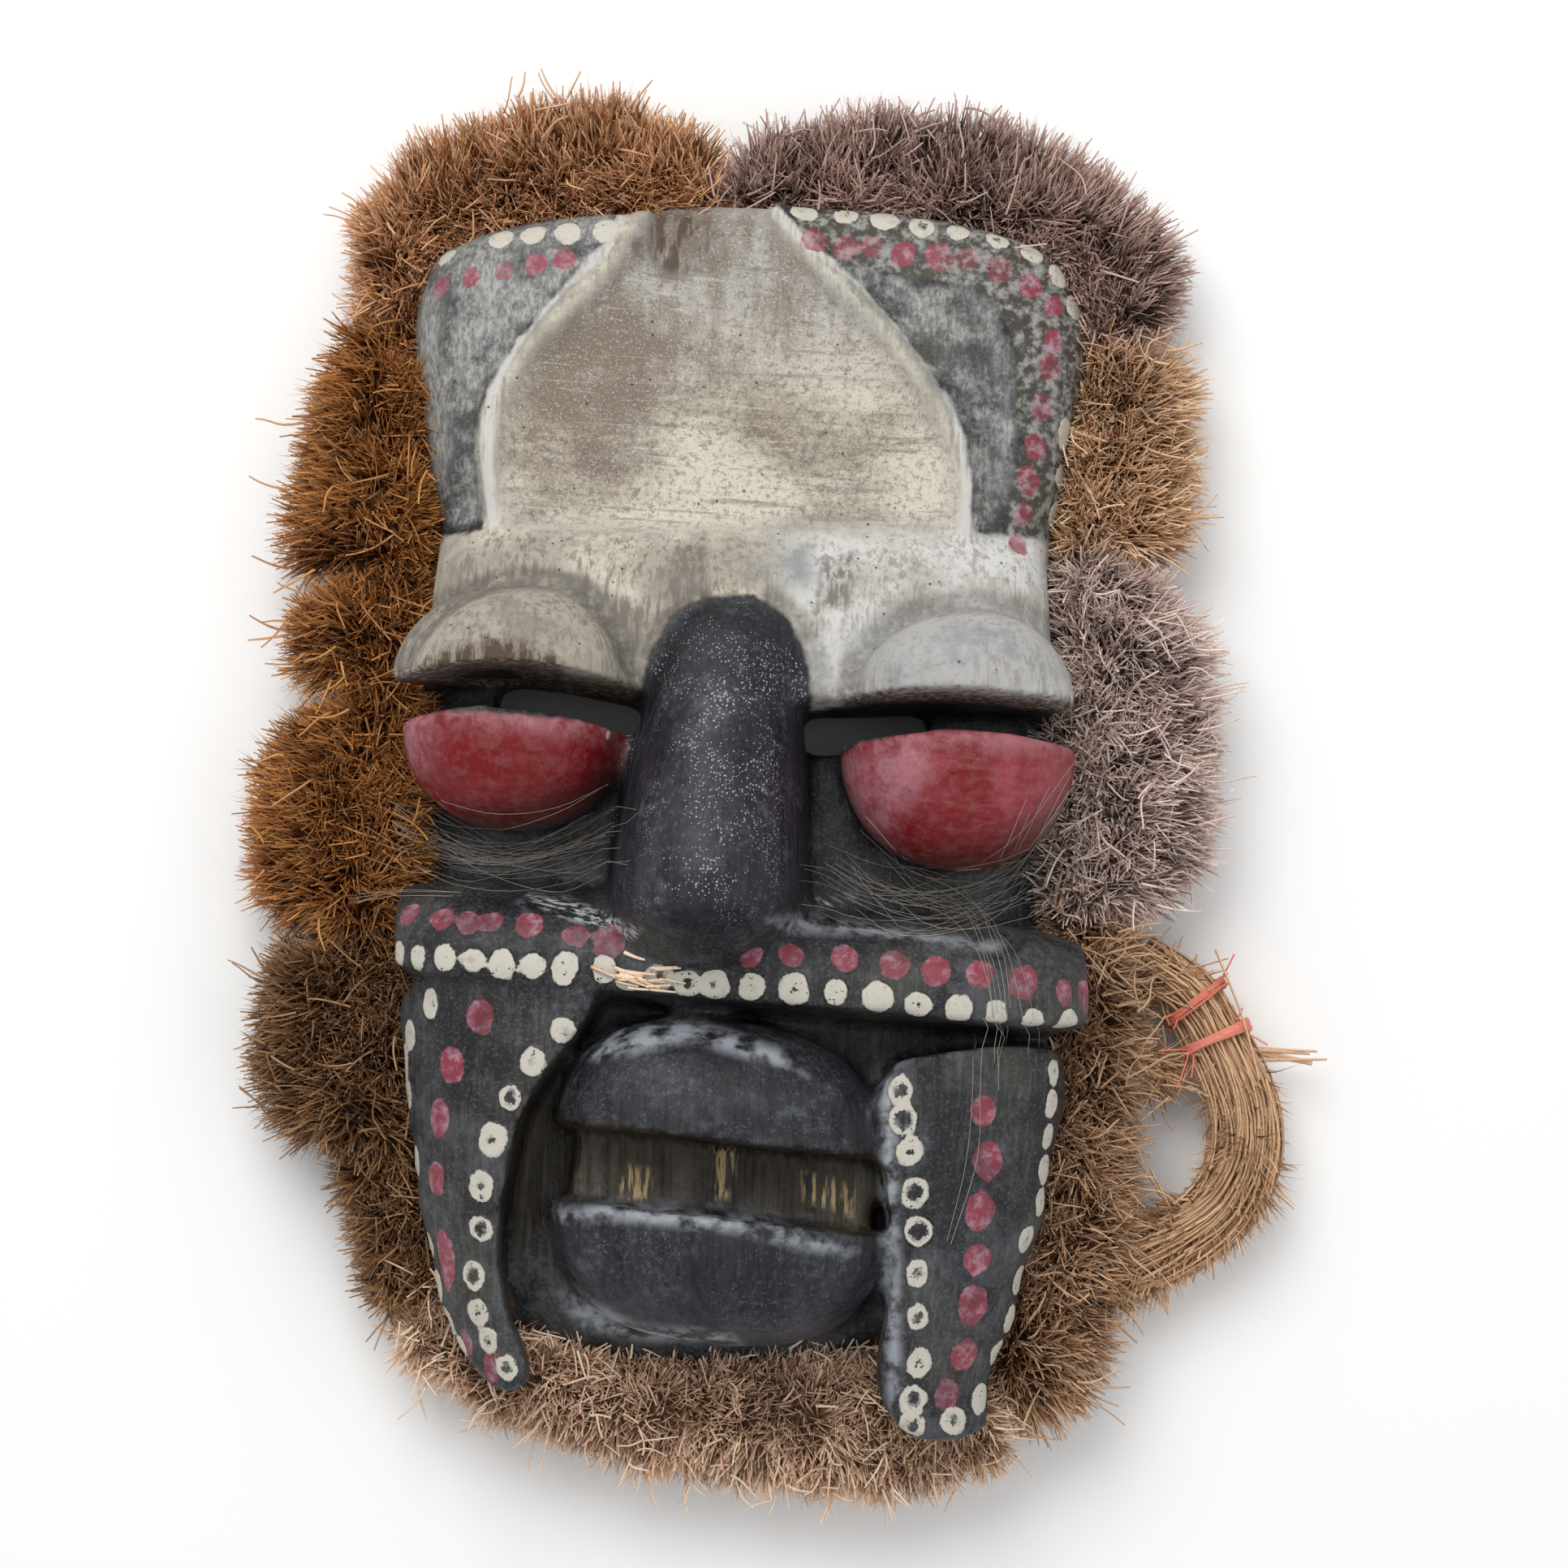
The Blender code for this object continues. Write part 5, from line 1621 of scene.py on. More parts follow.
RED_ROWS = (
    DotRow("plate top left", ((543, 352), (581, 341), (621, 334), (659, 325), (696, 319)), 0.0042),
    DotRow(
        "plate top right",
        (
            (1004, 294), (1041, 305), (1073, 305), (1114, 312), (1157, 317), (1192, 319), (1230, 332),
            (1270, 353),
            (1297, 377), (1297, 419), (1293, 453), (1283, 502), (1276, 551), (1268, 593), (1261, 635),
            (1255, 671),
        ),
        0.0044,
    ),
    DotRow(
        "band left",
        ((504, 1126), (545, 1132), (576, 1136), (606, 1136), (652, 1139), (708, 1152), (751, 1160)),
        0.0048,
    ),
    DotRow(
        "band right",
        (
            (926, 1177), (976, 1177), (1041, 1180), (1102, 1188), (1153, 1197), (1208, 1199),
            (1261, 1210),
            (1311, 1223), (1339, 1228),
        ),
        0.0050,
    ),
    DotRow("left panel", ((592, 1253), (557, 1313), (541, 1378), (537, 1452)), 0.0050, 0.0, 1.45),
    DotRow("left panel, long", ((549, 1548),), 0.0046, 0.0, 2.6),
    DotRow("left panel, low", ((574, 1652), (606, 1686)), 0.0042, 0.0, 1.5),
    DotRow(
        "right panel",
        (
            (1212, 1368), (1217, 1430), (1208, 1492), (1204, 1552), (1199, 1609), (1188, 1670),
            (1167, 1719),
        ),
        0.0054,
    ),
)


@dataclass(frozen=True)
class Groove:
    """A groove, or a raised crest, that the blade left along a line.

    Attributes:
        name: What it sets off.
        pixels: The line, in the photograph.
        depth: How deep it is, below 0 for a crest.
        width: How far its sides reach.
        smooth: Whether it is a smooth curve and not a straight cut.
    """

    name: str
    pixels: tuple[Pixel, ...]
    depth: float
    width: float
    smooth: bool = True


GROOVES = (
    Groove(
        "left lid",
        (
            (484, 838), (500, 798), (535, 752), (585, 720), (640, 708), (695, 714), (738, 742),
            (768, 786), (788, 842),
        ),
        0.0026,
        0.0040,
    ),
    Groove(
        "right lid",
        (
            (1044, 850), (1052, 812), (1080, 776), (1126, 750), (1180, 740), (1236, 744), (1282, 764),
            (1316, 800), (1336, 846),
        ),
        0.0024,
        0.0040,
    ),
    Groove(
        "arch, left, a crest",
        (
            (766, 262), (744, 306), (692, 352), (642, 410), (610, 470), (600, 540), (604, 600),
            (610, 648),
        ),
        -0.0010,
        0.0026,
    ),
    Groove(
        "arch, right, a crest",
        (
            (958, 262), (1002, 300), (1062, 345), (1122, 410), (1170, 480), (1188, 545), (1194, 600),
            (1194, 650),
        ),
        -0.0008,
        0.0030,
    ),
    Groove(
        "brow beside the nose, left", ((790, 850), (800, 806), (822, 764), (862, 736)), 0.0016, 0.0042
    ),
    Groove(
        "brow beside the nose, right",
        ((1010, 858), (1006, 812), (986, 766), (950, 736)),
        0.0016,
        0.0042,
    ),
    *(
        Groove(f"mouth cut at {across}", ((across, 1380), (across, 1500)), 0.0012, 0.0016, False)
        for across in (716, 761, 808, 872, 912, 984, 1040)
    ),
)

# The middle of the face in the photograph, towards which a dot off the edge is drawn
FACE_MIDDLE = (905.0, 965.0)

# Where the wood's top edge runs in the photograph, and how far up or down it may be drawn
TOP_LINE = (
    (509, 350), (540, 308), (600, 286), (664, 272), (744, 263), (798, 259), (878, 254), (958, 250),
    (1091, 251),
    (1137, 259), (1181, 265), (1229, 276), (1271, 290), (1305, 315), (1330, 350),
)
TOP_LIMIT = 18.0
TOP_FADE = 55.0


@dataclass(frozen=True)
class Nudge:
    """A small shift of the carving to where the photograph shows it, fading out with distance.

    Attributes:
        name: What it moves.
        pixel: Its middle.
        shift: How far it moves across and down, in pixels.
        reach: How far it reaches across and down, in pixels.
    """

    name: str
    pixel: Pixel
    shift: Pixel
    reach: Pixel


NUDGES = (
    Nudge("left eye", (625, 885), (0, -19), (200, 100)),
    Nudge("left lid's lower edge", (620, 862), (0, -17), (110, 34)),
    Nudge("right eye", (1190, 890), (0, -13), (170, 90)),
    *(
        Nudge("right panel's outer edge", place, (24, 0), (55, 90))
        for place in ((1285, 1345), (1258, 1495), (1222, 1640), (1190, 1765))
    ),
)


# The carved wood


@dataclass
class CarvedWood:
    """The mask of one carved block, with its carving, wear and paint.

    Attributes:
        camera: The photograph's camera, by which paint is placed.
        voxel: The size of the mesh's faces.
        soften_steps: How often the surface is smoothed.
        sharp_angle: The angle from which an edge of the solid counts as a carved edge.
        edge_reach: How far from a carved edge the smoothing is held back.
        tool_depth: How deep the marks of the blade are.
        lid_base: The height from which the lower lids rise.
        face_height: The least height at which dots are painted.
    """

    camera: PhotoCamera
    voxel: float = 0.00211
    soften_steps: int = 22
    sharp_angle: float = math.radians(38)
    edge_reach: float = 0.0055
    tool_depth: float = 0.00055
    lid_base: float = 0.0600
    face_height: float = 0.036
    piece: bpy.types.Object | None = None
    tree: BVHTree | None = None

    def build(self, frame: dict, finish: bpy.types.Material) -> bpy.types.Object:
        """Make the carved piece.

        Args:
            frame: The loaded frame.
            finish: The paint.

        Returns:
            The piece, which stands for the wood's solid.
        """
        solid = merged_copy(frame["nodes"][WOOD_NODE], "carved_mask")
        edges = self.carved_edges(solid)
        self.piece = add_object("carved_mask", solid)
        remesh = self.piece.modifiers.new("fine_mesh", "REMESH")
        remesh.mode = "VOXEL"
        remesh.voxel_size = self.voxel
        mesh = baked_mesh(self.piece)
        self.soften(mesh, edges)
        self.fit_to_photo(mesh)
        self.add_tool_marks(mesh)
        self.tree = BVHTree.FromPolygons(
            [vertex.co for vertex in mesh.vertices], [list(face.vertices) for face in mesh.polygons]
        )
        self.keep_wear(mesh)
        self.keep_zones(mesh)
        self.keep_dots(mesh)
        mesh.polygons.foreach_set("use_smooth", np.ones(len(mesh.polygons), bool))
        mesh.materials.clear()
        mesh.materials.append(finish)
        mesh.polygons.foreach_set("material_index", np.zeros(len(mesh.polygons), np.int32))
        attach(self.piece, BODY)
        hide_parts(WOOD_NODE)
        LOG.info("carved wood: %d faces", len(mesh.polygons))
        return self.piece

    def carved_edges(self, mesh: bpy.types.Mesh) -> KDTree:
        """Find points along the solid's sharp edges, which stay crisp."""
        builder = bmesh.new()
        builder.from_mesh(mesh)
        points = []
        for edge in builder.edges:
            if len(edge.link_faces) == 2 and edge.calc_face_angle(0.0) > self.sharp_angle:
                start, end = edge.verts
                steps = max(1, int(edge.calc_length() / 0.0015))
                points += [start.co.lerp(end.co, step / steps) for step in range(steps + 1)]
        builder.free()
        tree = KDTree(len(points))
        for number, point in enumerate(points):
            tree.insert(point, number)
        tree.balance()
        return tree

    def neighbours(self, mesh: bpy.types.Mesh) -> tuple[np.ndarray, np.ndarray, np.ndarray]:
        """Read the mesh's edges and count the neighbours of each vertex."""
        ends = np.zeros(len(mesh.edges) * 2, np.int32)
        mesh.edges.foreach_get("vertices", ends)
        first, second = ends[0::2], ends[1::2]
        count = np.bincount(np.concatenate([first, second]), minlength=len(mesh.vertices))
        return first, second, np.maximum(count, 1)

    def averaged(
        self, values: np.ndarray, links: tuple[np.ndarray, np.ndarray, np.ndarray]
    ) -> np.ndarray:
        """Average each vertex's neighbours."""
        first, second, count = links
        columns = []
        for column in np.atleast_2d(values.T):
            total = np.bincount(first, column[second], minlength=len(values))
            total += np.bincount(second, column[first], minlength=len(values))
            columns.append(total / count)
        return np.column_stack(columns) if values.ndim == 2 else columns[0]

    def soften(self, mesh: bpy.types.Mesh, edges: KDTree) -> None:
        """Smooth the facets away and keep the carved edges."""
        points = mesh_points(mesh)
        links = self.neighbours(mesh)
        gaps = np.array([edges.find(Vector(point))[2] for point in points])
        weight = 0.10 + 0.90 * smooth_step(gaps, 0.0008, self.edge_reach)
        for step in range(self.soften_steps):
            share = np.maximum(weight, 0.45) if step < 2 else weight
            points += 0.5 * share[:, None] * (self.averaged(points, links) - points)
        move_points(mesh, points)

    def fit_to_photo(self, mesh: bpy.types.Mesh) -> None:
        """Draw the top edge and a few forms to where the photograph shows them."""
        points = mesh_points(mesh)
        pixels = self.camera.pixels(points)
        face = pixels[points[:, 2] > self.face_height]
        line = np.array(TOP_LINE, float)
        columns = np.arange(line[0, 0], line[-1, 0], 6.0)
        edge = np.array([face[np.abs(face[:, 0] - column) < 9.0, 1].min() for column in columns])
        rise = np.clip(edge - np.interp(columns, line[:, 0], line[:, 1]), -TOP_LIMIT, TOP_LIMIT)
        rise = np.convolve(np.pad(rise, 2, "edge"), np.ones(5) / 5, "valid")
        ends = smooth_step(pixels[:, 0], line[0, 0], 540.0) * smooth_step(
            pixels[:, 0], line[-1, 0], 1305.0
        )
        top = np.interp(pixels[:, 0], columns, edge)
        near = smooth_step(pixels[:, 1], top + TOP_FADE, top + 6.0) * ends
        shift = np.zeros((len(points), 2))
        shift[:, 1] = -np.interp(pixels[:, 0], columns, rise) * near
        for nudge in NUDGES:
            away = (pixels - np.array(nudge.pixel)) / np.array(nudge.reach)
            shift += np.exp(-(away**2).sum(axis=1))[:, None] * np.array(nudge.shift)
        points[:, :2] += shift * np.array([1.0, -1.0]) * self.camera.pixel_size()
        move_points(mesh, points)

    def add_tool_marks(self, mesh: bpy.types.Mesh) -> None:
        """Press the blade's shallow marks and the wood's grain into the surface."""
        points = mesh_points(mesh)
        normals = mesh_normals(mesh)
        pixels = self.camera.pixels(points)
        mouth = self.zone_depth(pixels, Zone.mouth)
        raw = smooth_step(mouth, -0.001, 0.003)
        marks = np.zeros(len(points))
        for number, point in enumerate(points):
            wide = noise.noise(Vector(point * 42.0))
            facet = noise.cell(Vector((point[0] * 90, point[1] * 55, point[2] * 90)))
            grain = noise.noise(Vector((point[0] * 420, point[1] * 26, point[2] * 420)))
            marks[number] = wide * 0.9 + (facet - 0.5) * 0.12 + grain * (0.18 + 0.55 * raw[number])
        links = self.neighbours(mesh)
        marks = 0.5 * marks + 0.5 * self.averaged(marks, links)
        points += normals * (marks * self.tool_depth)[:, None]
        depth, self.crease, self.crest = self.groove_depth(pixels)
        points -= normals * (depth * smooth_step(normals[:, 2], 0.1, 0.5))[:, None]
        points[:, 2] = np.maximum(points[:, 2], 0.0)
        move_points(mesh, points)

    def groove_depth(self, pixels: np.ndarray) -> tuple[np.ndarray, np.ndarray, np.ndarray]:
        """Measure the grooves at pixels.

        Args:
            pixels: The places, one row each.

        Returns:
            The depth, and how close the nearest groove and the nearest crest are, from 0 to 1.
        """
        depth = np.zeros(len(pixels))
        closest = np.zeros(len(pixels))
        crest = np.zeros(len(pixels))
        for groove in GROOVES:
            line = np.array(groove.pixels, float)
            if groove.smooth:
                line = smooth_line(line, 40)
            gap = np.full(len(pixels), np.inf)
            for start, end in zip(line, line[1:]):
                side = end - start
                share = np.clip(((pixels - start) @ side) / (side @ side), 0, 1)
                gap = np.minimum(gap, np.linalg.norm(pixels - start - share[:, None] * side, axis=1))
            near = np.exp(-((gap * self.camera.pixel_size() / groove.width) ** 2))
            if groove.depth < 0:
                depth += groove.depth * near
                crest = np.maximum(crest, near)
                continue
            depth = np.maximum(depth, groove.depth * near)
            closest = np.maximum(closest, near)
        return depth, closest, crest

    def keep_wear(self, mesh: bpy.types.Mesh) -> None:
        """Keep where the surface is convex, where it faces up, and where paint reached it."""
        points = mesh_points(mesh)
        normals = mesh_normals(mesh)
        links = self.neighbours(mesh)
        bulge = np.einsum("ij,ij->i", normals, points - self.averaged(points, links)) / self.voxel
        for _ in range(2):
            bulge = 0.5 * bulge + 0.5 * self.averaged(bulge, links)
        store(mesh, "ridge", bulge)
        store(mesh, "crease", self.crease)
        store(mesh, "crest", self.crest)
        store(mesh, "facing", smooth_step(normals[:, 2], 0.15, 0.75))
        open_sky = np.zeros(len(points))
        up = Vector((0, 0, 1))
        for number, (point, normal) in enumerate(zip(points, normals)):
            start = Vector(point) + Vector(normal) * 0.0012
            open_sky[number] = 0.0 if self.tree.ray_cast(start, up, 0.3)[0] else 1.0
        for _ in range(3):
            open_sky = 0.5 * open_sky + 0.5 * self.averaged(open_sky, links)
        store(mesh, "painted", (open_sky - 0.5) * 0.008)
        self.open_sky = open_sky

    def zone_depth(self, pixels: np.ndarray, zone: Zone) -> np.ndarray:
        """Measure how deep pixels lie inside a painted area, in metres."""
        depths = [distance_inside(pixels, np.array(outline, float)) for outline in zone.value]
        return np.max(depths, axis=0) * self.camera.pixel_size()

    def keep_zones(self, mesh: bpy.types.Mesh) -> None:
        """Keep how deep each vertex lies inside each painted area."""
        points = mesh_points(mesh)
        pixels = self.camera.pixels(points)
        under = (self.open_sky - 0.55) * 0.010
        for zone in Zone:
            depth = np.clip(self.zone_depth(pixels, zone), -0.03, 0.03)
            if zone is not Zone.mouth and zone is not Zone.teeth:
                depth = np.minimum(depth, under)
            if zone is Zone.red:
                depth = np.minimum(depth, points[:, 2] - self.lid_base)
            store(mesh, zone.name, depth)

    def on_wood(self, pixel: Pixel) -> Vector:
        """Find where a pixel meets the wood's face, or the next place towards the middle that does."""
        spot = np.array(pixel, float)
        middle = np.array(FACE_MIDDLE)
        toward = (middle - spot) / np.linalg.norm(middle - spot)
        for _ in range(40):
            hit = self.tree.ray_cast(self.camera.eye, self.camera.ray(tuple(spot)))[0]
            if hit is not None and hit.z > self.face_height:
                return hit
            spot = spot + toward * 3.0
        return Vector((0, 0, -1))

    def keep_dots(self, mesh: bpy.types.Mesh) -> None:
        """Keep each vertex's distance outside the nearest white and red dot."""
        points = mesh_points(mesh)
        for name, rows in (("white_dots", WHITE_ROWS), ("red_dots", RED_ROWS)):
            chance = np.random.default_rng(11)
            nearest = np.full(len(points), 0.02)
            hollow = np.zeros(len(points))
            for row in rows:
                for pixel in row.pixels:
                    hit = self.on_wood(pixel)
                    size = row.radius * chance.uniform(0.88, 1.12)
                    tall = row.tall * chance.uniform(0.9, 1.12)
                    chipped = float(np.clip(row.hollow + chance.uniform(-0.30, 0.30), 0, 1))
                    offset = points - np.array(hit)
                    offset[:, 1] /= tall
                    outside = np.linalg.norm(offset, axis=1) - size
                    closer = outside < nearest
                    hollow[closer] = chipped
                    nearest = np.minimum(nearest, outside)
            nearest = np.where(self.open_sky > 0.3, nearest, 0.02)
            store(mesh, name, nearest)
            if name == "white_dots":
                store(mesh, "hollow_dots", hollow)


# The raffia


@dataclass
class Hank:
    """One hank of clipped raffia tied to the rim.

    Attributes:
        node: The solid that the hank stands for.
        fibre: Its colour.
        slot: The record's material slot; not used.
        seed: The seed of its fibres.
        density: Fibres for each square metre of surface.
        length: The usual length of a fibre.
        tuft: How strongly tufts turn the fibres.
        lift: How far the fibres stand up.
        over: How far the inner fibres lean over the wood.
        strays: How many longer, crooked strands lie over it.
    """

    node: str
    fibre: Fibre
    slot: str
    seed: int
    density: float = 700000.0
    length: float = 0.0165
    tuft: float = 0.95
    lift: float = 0.36
    over: float = 0.45
    strays: int = 45


HANKS = (
    Hank("raffia_crown_right", Fibre.DARK, "dark_raffia", 1, strays=90),
    Hank("raffia_brow_right", Fibre.ORANGE, "straw_raffia", 2, tuft=0.55),
    Hank("raffia_eye_right", Fibre.GREY, "grey_raffia", 3, tuft=0.75, strays=120),
    Hank("raffia_jaw_right", Fibre.STRAW, "straw_raffia", 4, tuft=1.0, strays=380),
    Hank(
        "raffia_chin",
        Fibre.BROWN,
        "golden_raffia",
        5,
        length=0.0120,
        tuft=1.25,
        lift=0.60,
        over=0.80,
        strays=300,
    ),
    Hank("raffia_jaw_left", Fibre.AMBER, "golden_raffia", 6),
    Hank("raffia_cheek_left", Fibre.AMBER, "golden_raffia", 7),
    Hank("raffia_eye_left", Fibre.GOLDEN, "golden_raffia", 8),
    Hank("raffia_temple_left", Fibre.GOLDEN, "golden_raffia", 9),
    Hank("raffia_brow_left", Fibre.GOLDEN, "golden_raffia", 10, length=0.0185),
    Hank("raffia_crown_left", Fibre.CROWN, "golden_raffia", 11, length=0.0150, strays=90),
)


@dataclass
class Ruff:
    """The ring of raffia round the rim.

    Attributes:
        camera: The photograph's camera.
        trees: The geometry trees.
        shrink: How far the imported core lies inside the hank's surface.
        radius: The radius of a fibre.
        loop_start: The distance from the rim past which a solid is the loose loop.
    """

    camera: PhotoCamera
    trees: FibreTrees
    shrink: float = 0.0105
    radius: float = 0.00050
    loop_start: float = 0.046
    materials: dict[str, bpy.types.Material] = field(default_factory=dict)

    def finish_of(self, fibre: Fibre, core: bool = False) -> bpy.types.Material:
        """Make a fibre's material once and give it out again."""
        key = f"{fibre.name}_core" if core else fibre.name
        if key not in self.materials:
            self.materials[key] = fibre.value.build_core() if core else fibre.value.build()
        return self.materials[key]

    def rim_outline(self, frame: dict) -> np.ndarray:
        """Find the outline of the wood near the floor, as the hull of its lowest vertices."""
        points = mesh_points(frame["nodes"][WOOD_NODE].data)
        low = np.unique(np.round(points[points[:, 2] < 0.03][:, :2], 5), axis=0)

        def half(rows: np.ndarray) -> list[np.ndarray]:
            """Walk one side of the hull."""
            side: list[np.ndarray] = []
            for row in rows:
                while len(side) > 1:
                    one, two = side[-1] - side[-2], row - side[-1]
                    if one[0] * two[1] - one[1] * two[0] > 0:
                        break
                    side.pop()
                side.append(row)
            return side[:-1]

        return np.array(half(low) + half(low[::-1]))

    def outward(self, points: np.ndarray, rim: np.ndarray) -> tuple[np.ndarray, np.ndarray]:
        """Find the direction away from the rim in plan, and the distance to it."""
        best = np.full(len(points), np.inf)
        away = np.zeros((len(points), 2))
        plan = points[:, :2]
        middle = rim.mean(axis=0)
        for start, end in zip(rim, np.roll(rim, -1, axis=0)):
            side = end - start
            share = np.clip(((plan - start) @ side) / max(side @ side, 1e-12), 0, 1)
            offset = plan - start - share[:, None] * side
            length = np.linalg.norm(offset, axis=1)
            closer = length < best
            best[closer] = length[closer]
            away[closer] = offset[closer]
        inward = np.einsum("ij,ij->i", away, plan - middle) < 0
        away[inward] *= -1
        away /= np.maximum(np.linalg.norm(away, axis=1), 1e-6)[:, None]
        return np.column_stack([away, np.zeros(len(points))]), best

    def build_hank(self, frame: dict, hank: Hank, rim: np.ndarray) -> None:
        """Make one hank: a dark packed core and the fibres on it."""
        core_mesh = merged_copy(frame["nodes"][hank.node], f"{hank.node}_core")
        points = mesh_points(core_mesh)
        _, gap = self.outward(points, rim)
        inset = mesh_normals(core_mesh) * self.shrink
        inset[:, :2] *= smooth_step(gap, 0.001, 0.012)[:, None]
        points -= inset
        points[:, 2] = np.maximum(points[:, 2], 0.0015)
        move_points(core_mesh, points)
        core = add_object(f"{hank.node}_core", core_mesh)
        core_mesh.materials.clear()
        core_mesh.materials.append(self.finish_of(hank.fibre, core=True))

        mesh = core_mesh.copy()
        mesh.name = f"{hank.node}_fibres"
        points = mesh_points(mesh)
        direction, gap = self.outward(points, rim)
        normals = mesh_normals(mesh)
        cover = np.where(normals[:, 2] < -0.55, 0.12, 1.0) * (
            0.92 + 0.9 * smooth_step(gap, 0.022, 0.006)
        )
        parting = -hank.over + (0.85 + hank.over) * smooth_step(gap, 0.004, 0.024)
        if hank.node == LOOP_NODE:
            cover = np.where(gap > self.loop_start, 0.0, cover)
        store(mesh, "outward", direction * parting[:, None])
        store(mesh, "cover", cover)
        piece = add_object(mesh.name, mesh)
        result = run_tree(
            piece,
            self.trees.bristles,
            Material=self.finish_of(hank.fibre),
            Density=hank.density,
            Length=hank.length,
            Radius=self.radius,
            Lift=hank.lift,
            Normal_Share=0.45,
            Tuft=hank.tuft,
            Tuft_Scale=72.0,
            Jitter=0.56,
            Seed=hank.seed,
        )
        strands = self.stray_strands(hank, core_mesh, rim)
        for part in (core, piece, strands):
            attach(part, BODY)
        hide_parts(hank.node)
        LOG.info("%s: %d faces", piece.name, len(result.polygons))

    def stray_strands(self, hank: Hank, core: bpy.types.Mesh, rim: np.ndarray) -> bpy.types.Object:
        """Lay longer, crooked strands over a hank, every way.

        Args:
            hank: The hank.
            core: Its packed core, near whose surface they start.
            rim: The wood's outline.

        Returns:
            The strands as one piece.
        """
        chance = np.random.default_rng(70 + hank.seed)
        points, normals = mesh_points(core), mesh_normals(core)
        direction, gap = self.outward(points, rim)
        usable = np.flatnonzero(
            (gap < self.loop_start - 0.006) & (normals[:, 2] > 0.2) & (points[:, 2] > 0.012)
        )
        share = np.linspace(0, 1, 7)[:, None]
        bunch = Strands()
        for _ in range(hank.strays):
            pick = int(chance.choice(usable))
            start = points[pick] + normals[pick] * chance.uniform(
                0.004, 0.009
            ) + chance.normal(0, 0.0022, 3)
            heading = 0.30 * direction[pick] + 0.25 * normals[pick] + chance.normal(
                0, 0.45, 3
            ) * (1, 1, 0.25)
            heading /= np.linalg.norm(heading)
            length = hank.length * chance.uniform(0.50, 0.95)
            bend = np.sin(math.pi * share * chance.uniform(0.7, 1.6)) * chance.normal(0, 0.06, 3)
            path = start + length * (share * heading + bend)
            path[:, 2] = np.maximum(path[:, 2], STRAND_FLOOR)
            girth = np.linspace(1.0, 0.55, len(path)) * chance.uniform(0.00040, 0.00062)
            bunch.add(path, girth, chance.uniform(0.35, 1.0))
        name = f"{hank.node}_strands"
        strands = add_object(name, bunch.mesh(name))
        run_tree(strands, self.trees.tubes, Material=self.finish_of(hank.fibre), Sides=3)
        return strands

    def build(self, frame: dict) -> None:
        """Make every hank."""
        rim = self.rim_outline(frame)
        for hank in HANKS:
            self.build_hank(frame, hank, rim)


# The long single straws at the loop, in the photograph
STRAWS = (
    ((1376, 1396), (1430, 1470), (1470, 1548)),
    ((1418, 1440), (1448, 1500), (1476, 1550)),
    ((1352, 1420), (1392, 1392), (1440, 1352)),
    ((1498, 1170), (1530, 1250), (1552, 1330)),
    ((1506, 1220), (1536, 1310), (1562, 1400)),
    ((1560, 1330), (1576, 1400), (1566, 1470)),
    ((1400, 1330), (1440, 1300), (1490, 1300)),
)


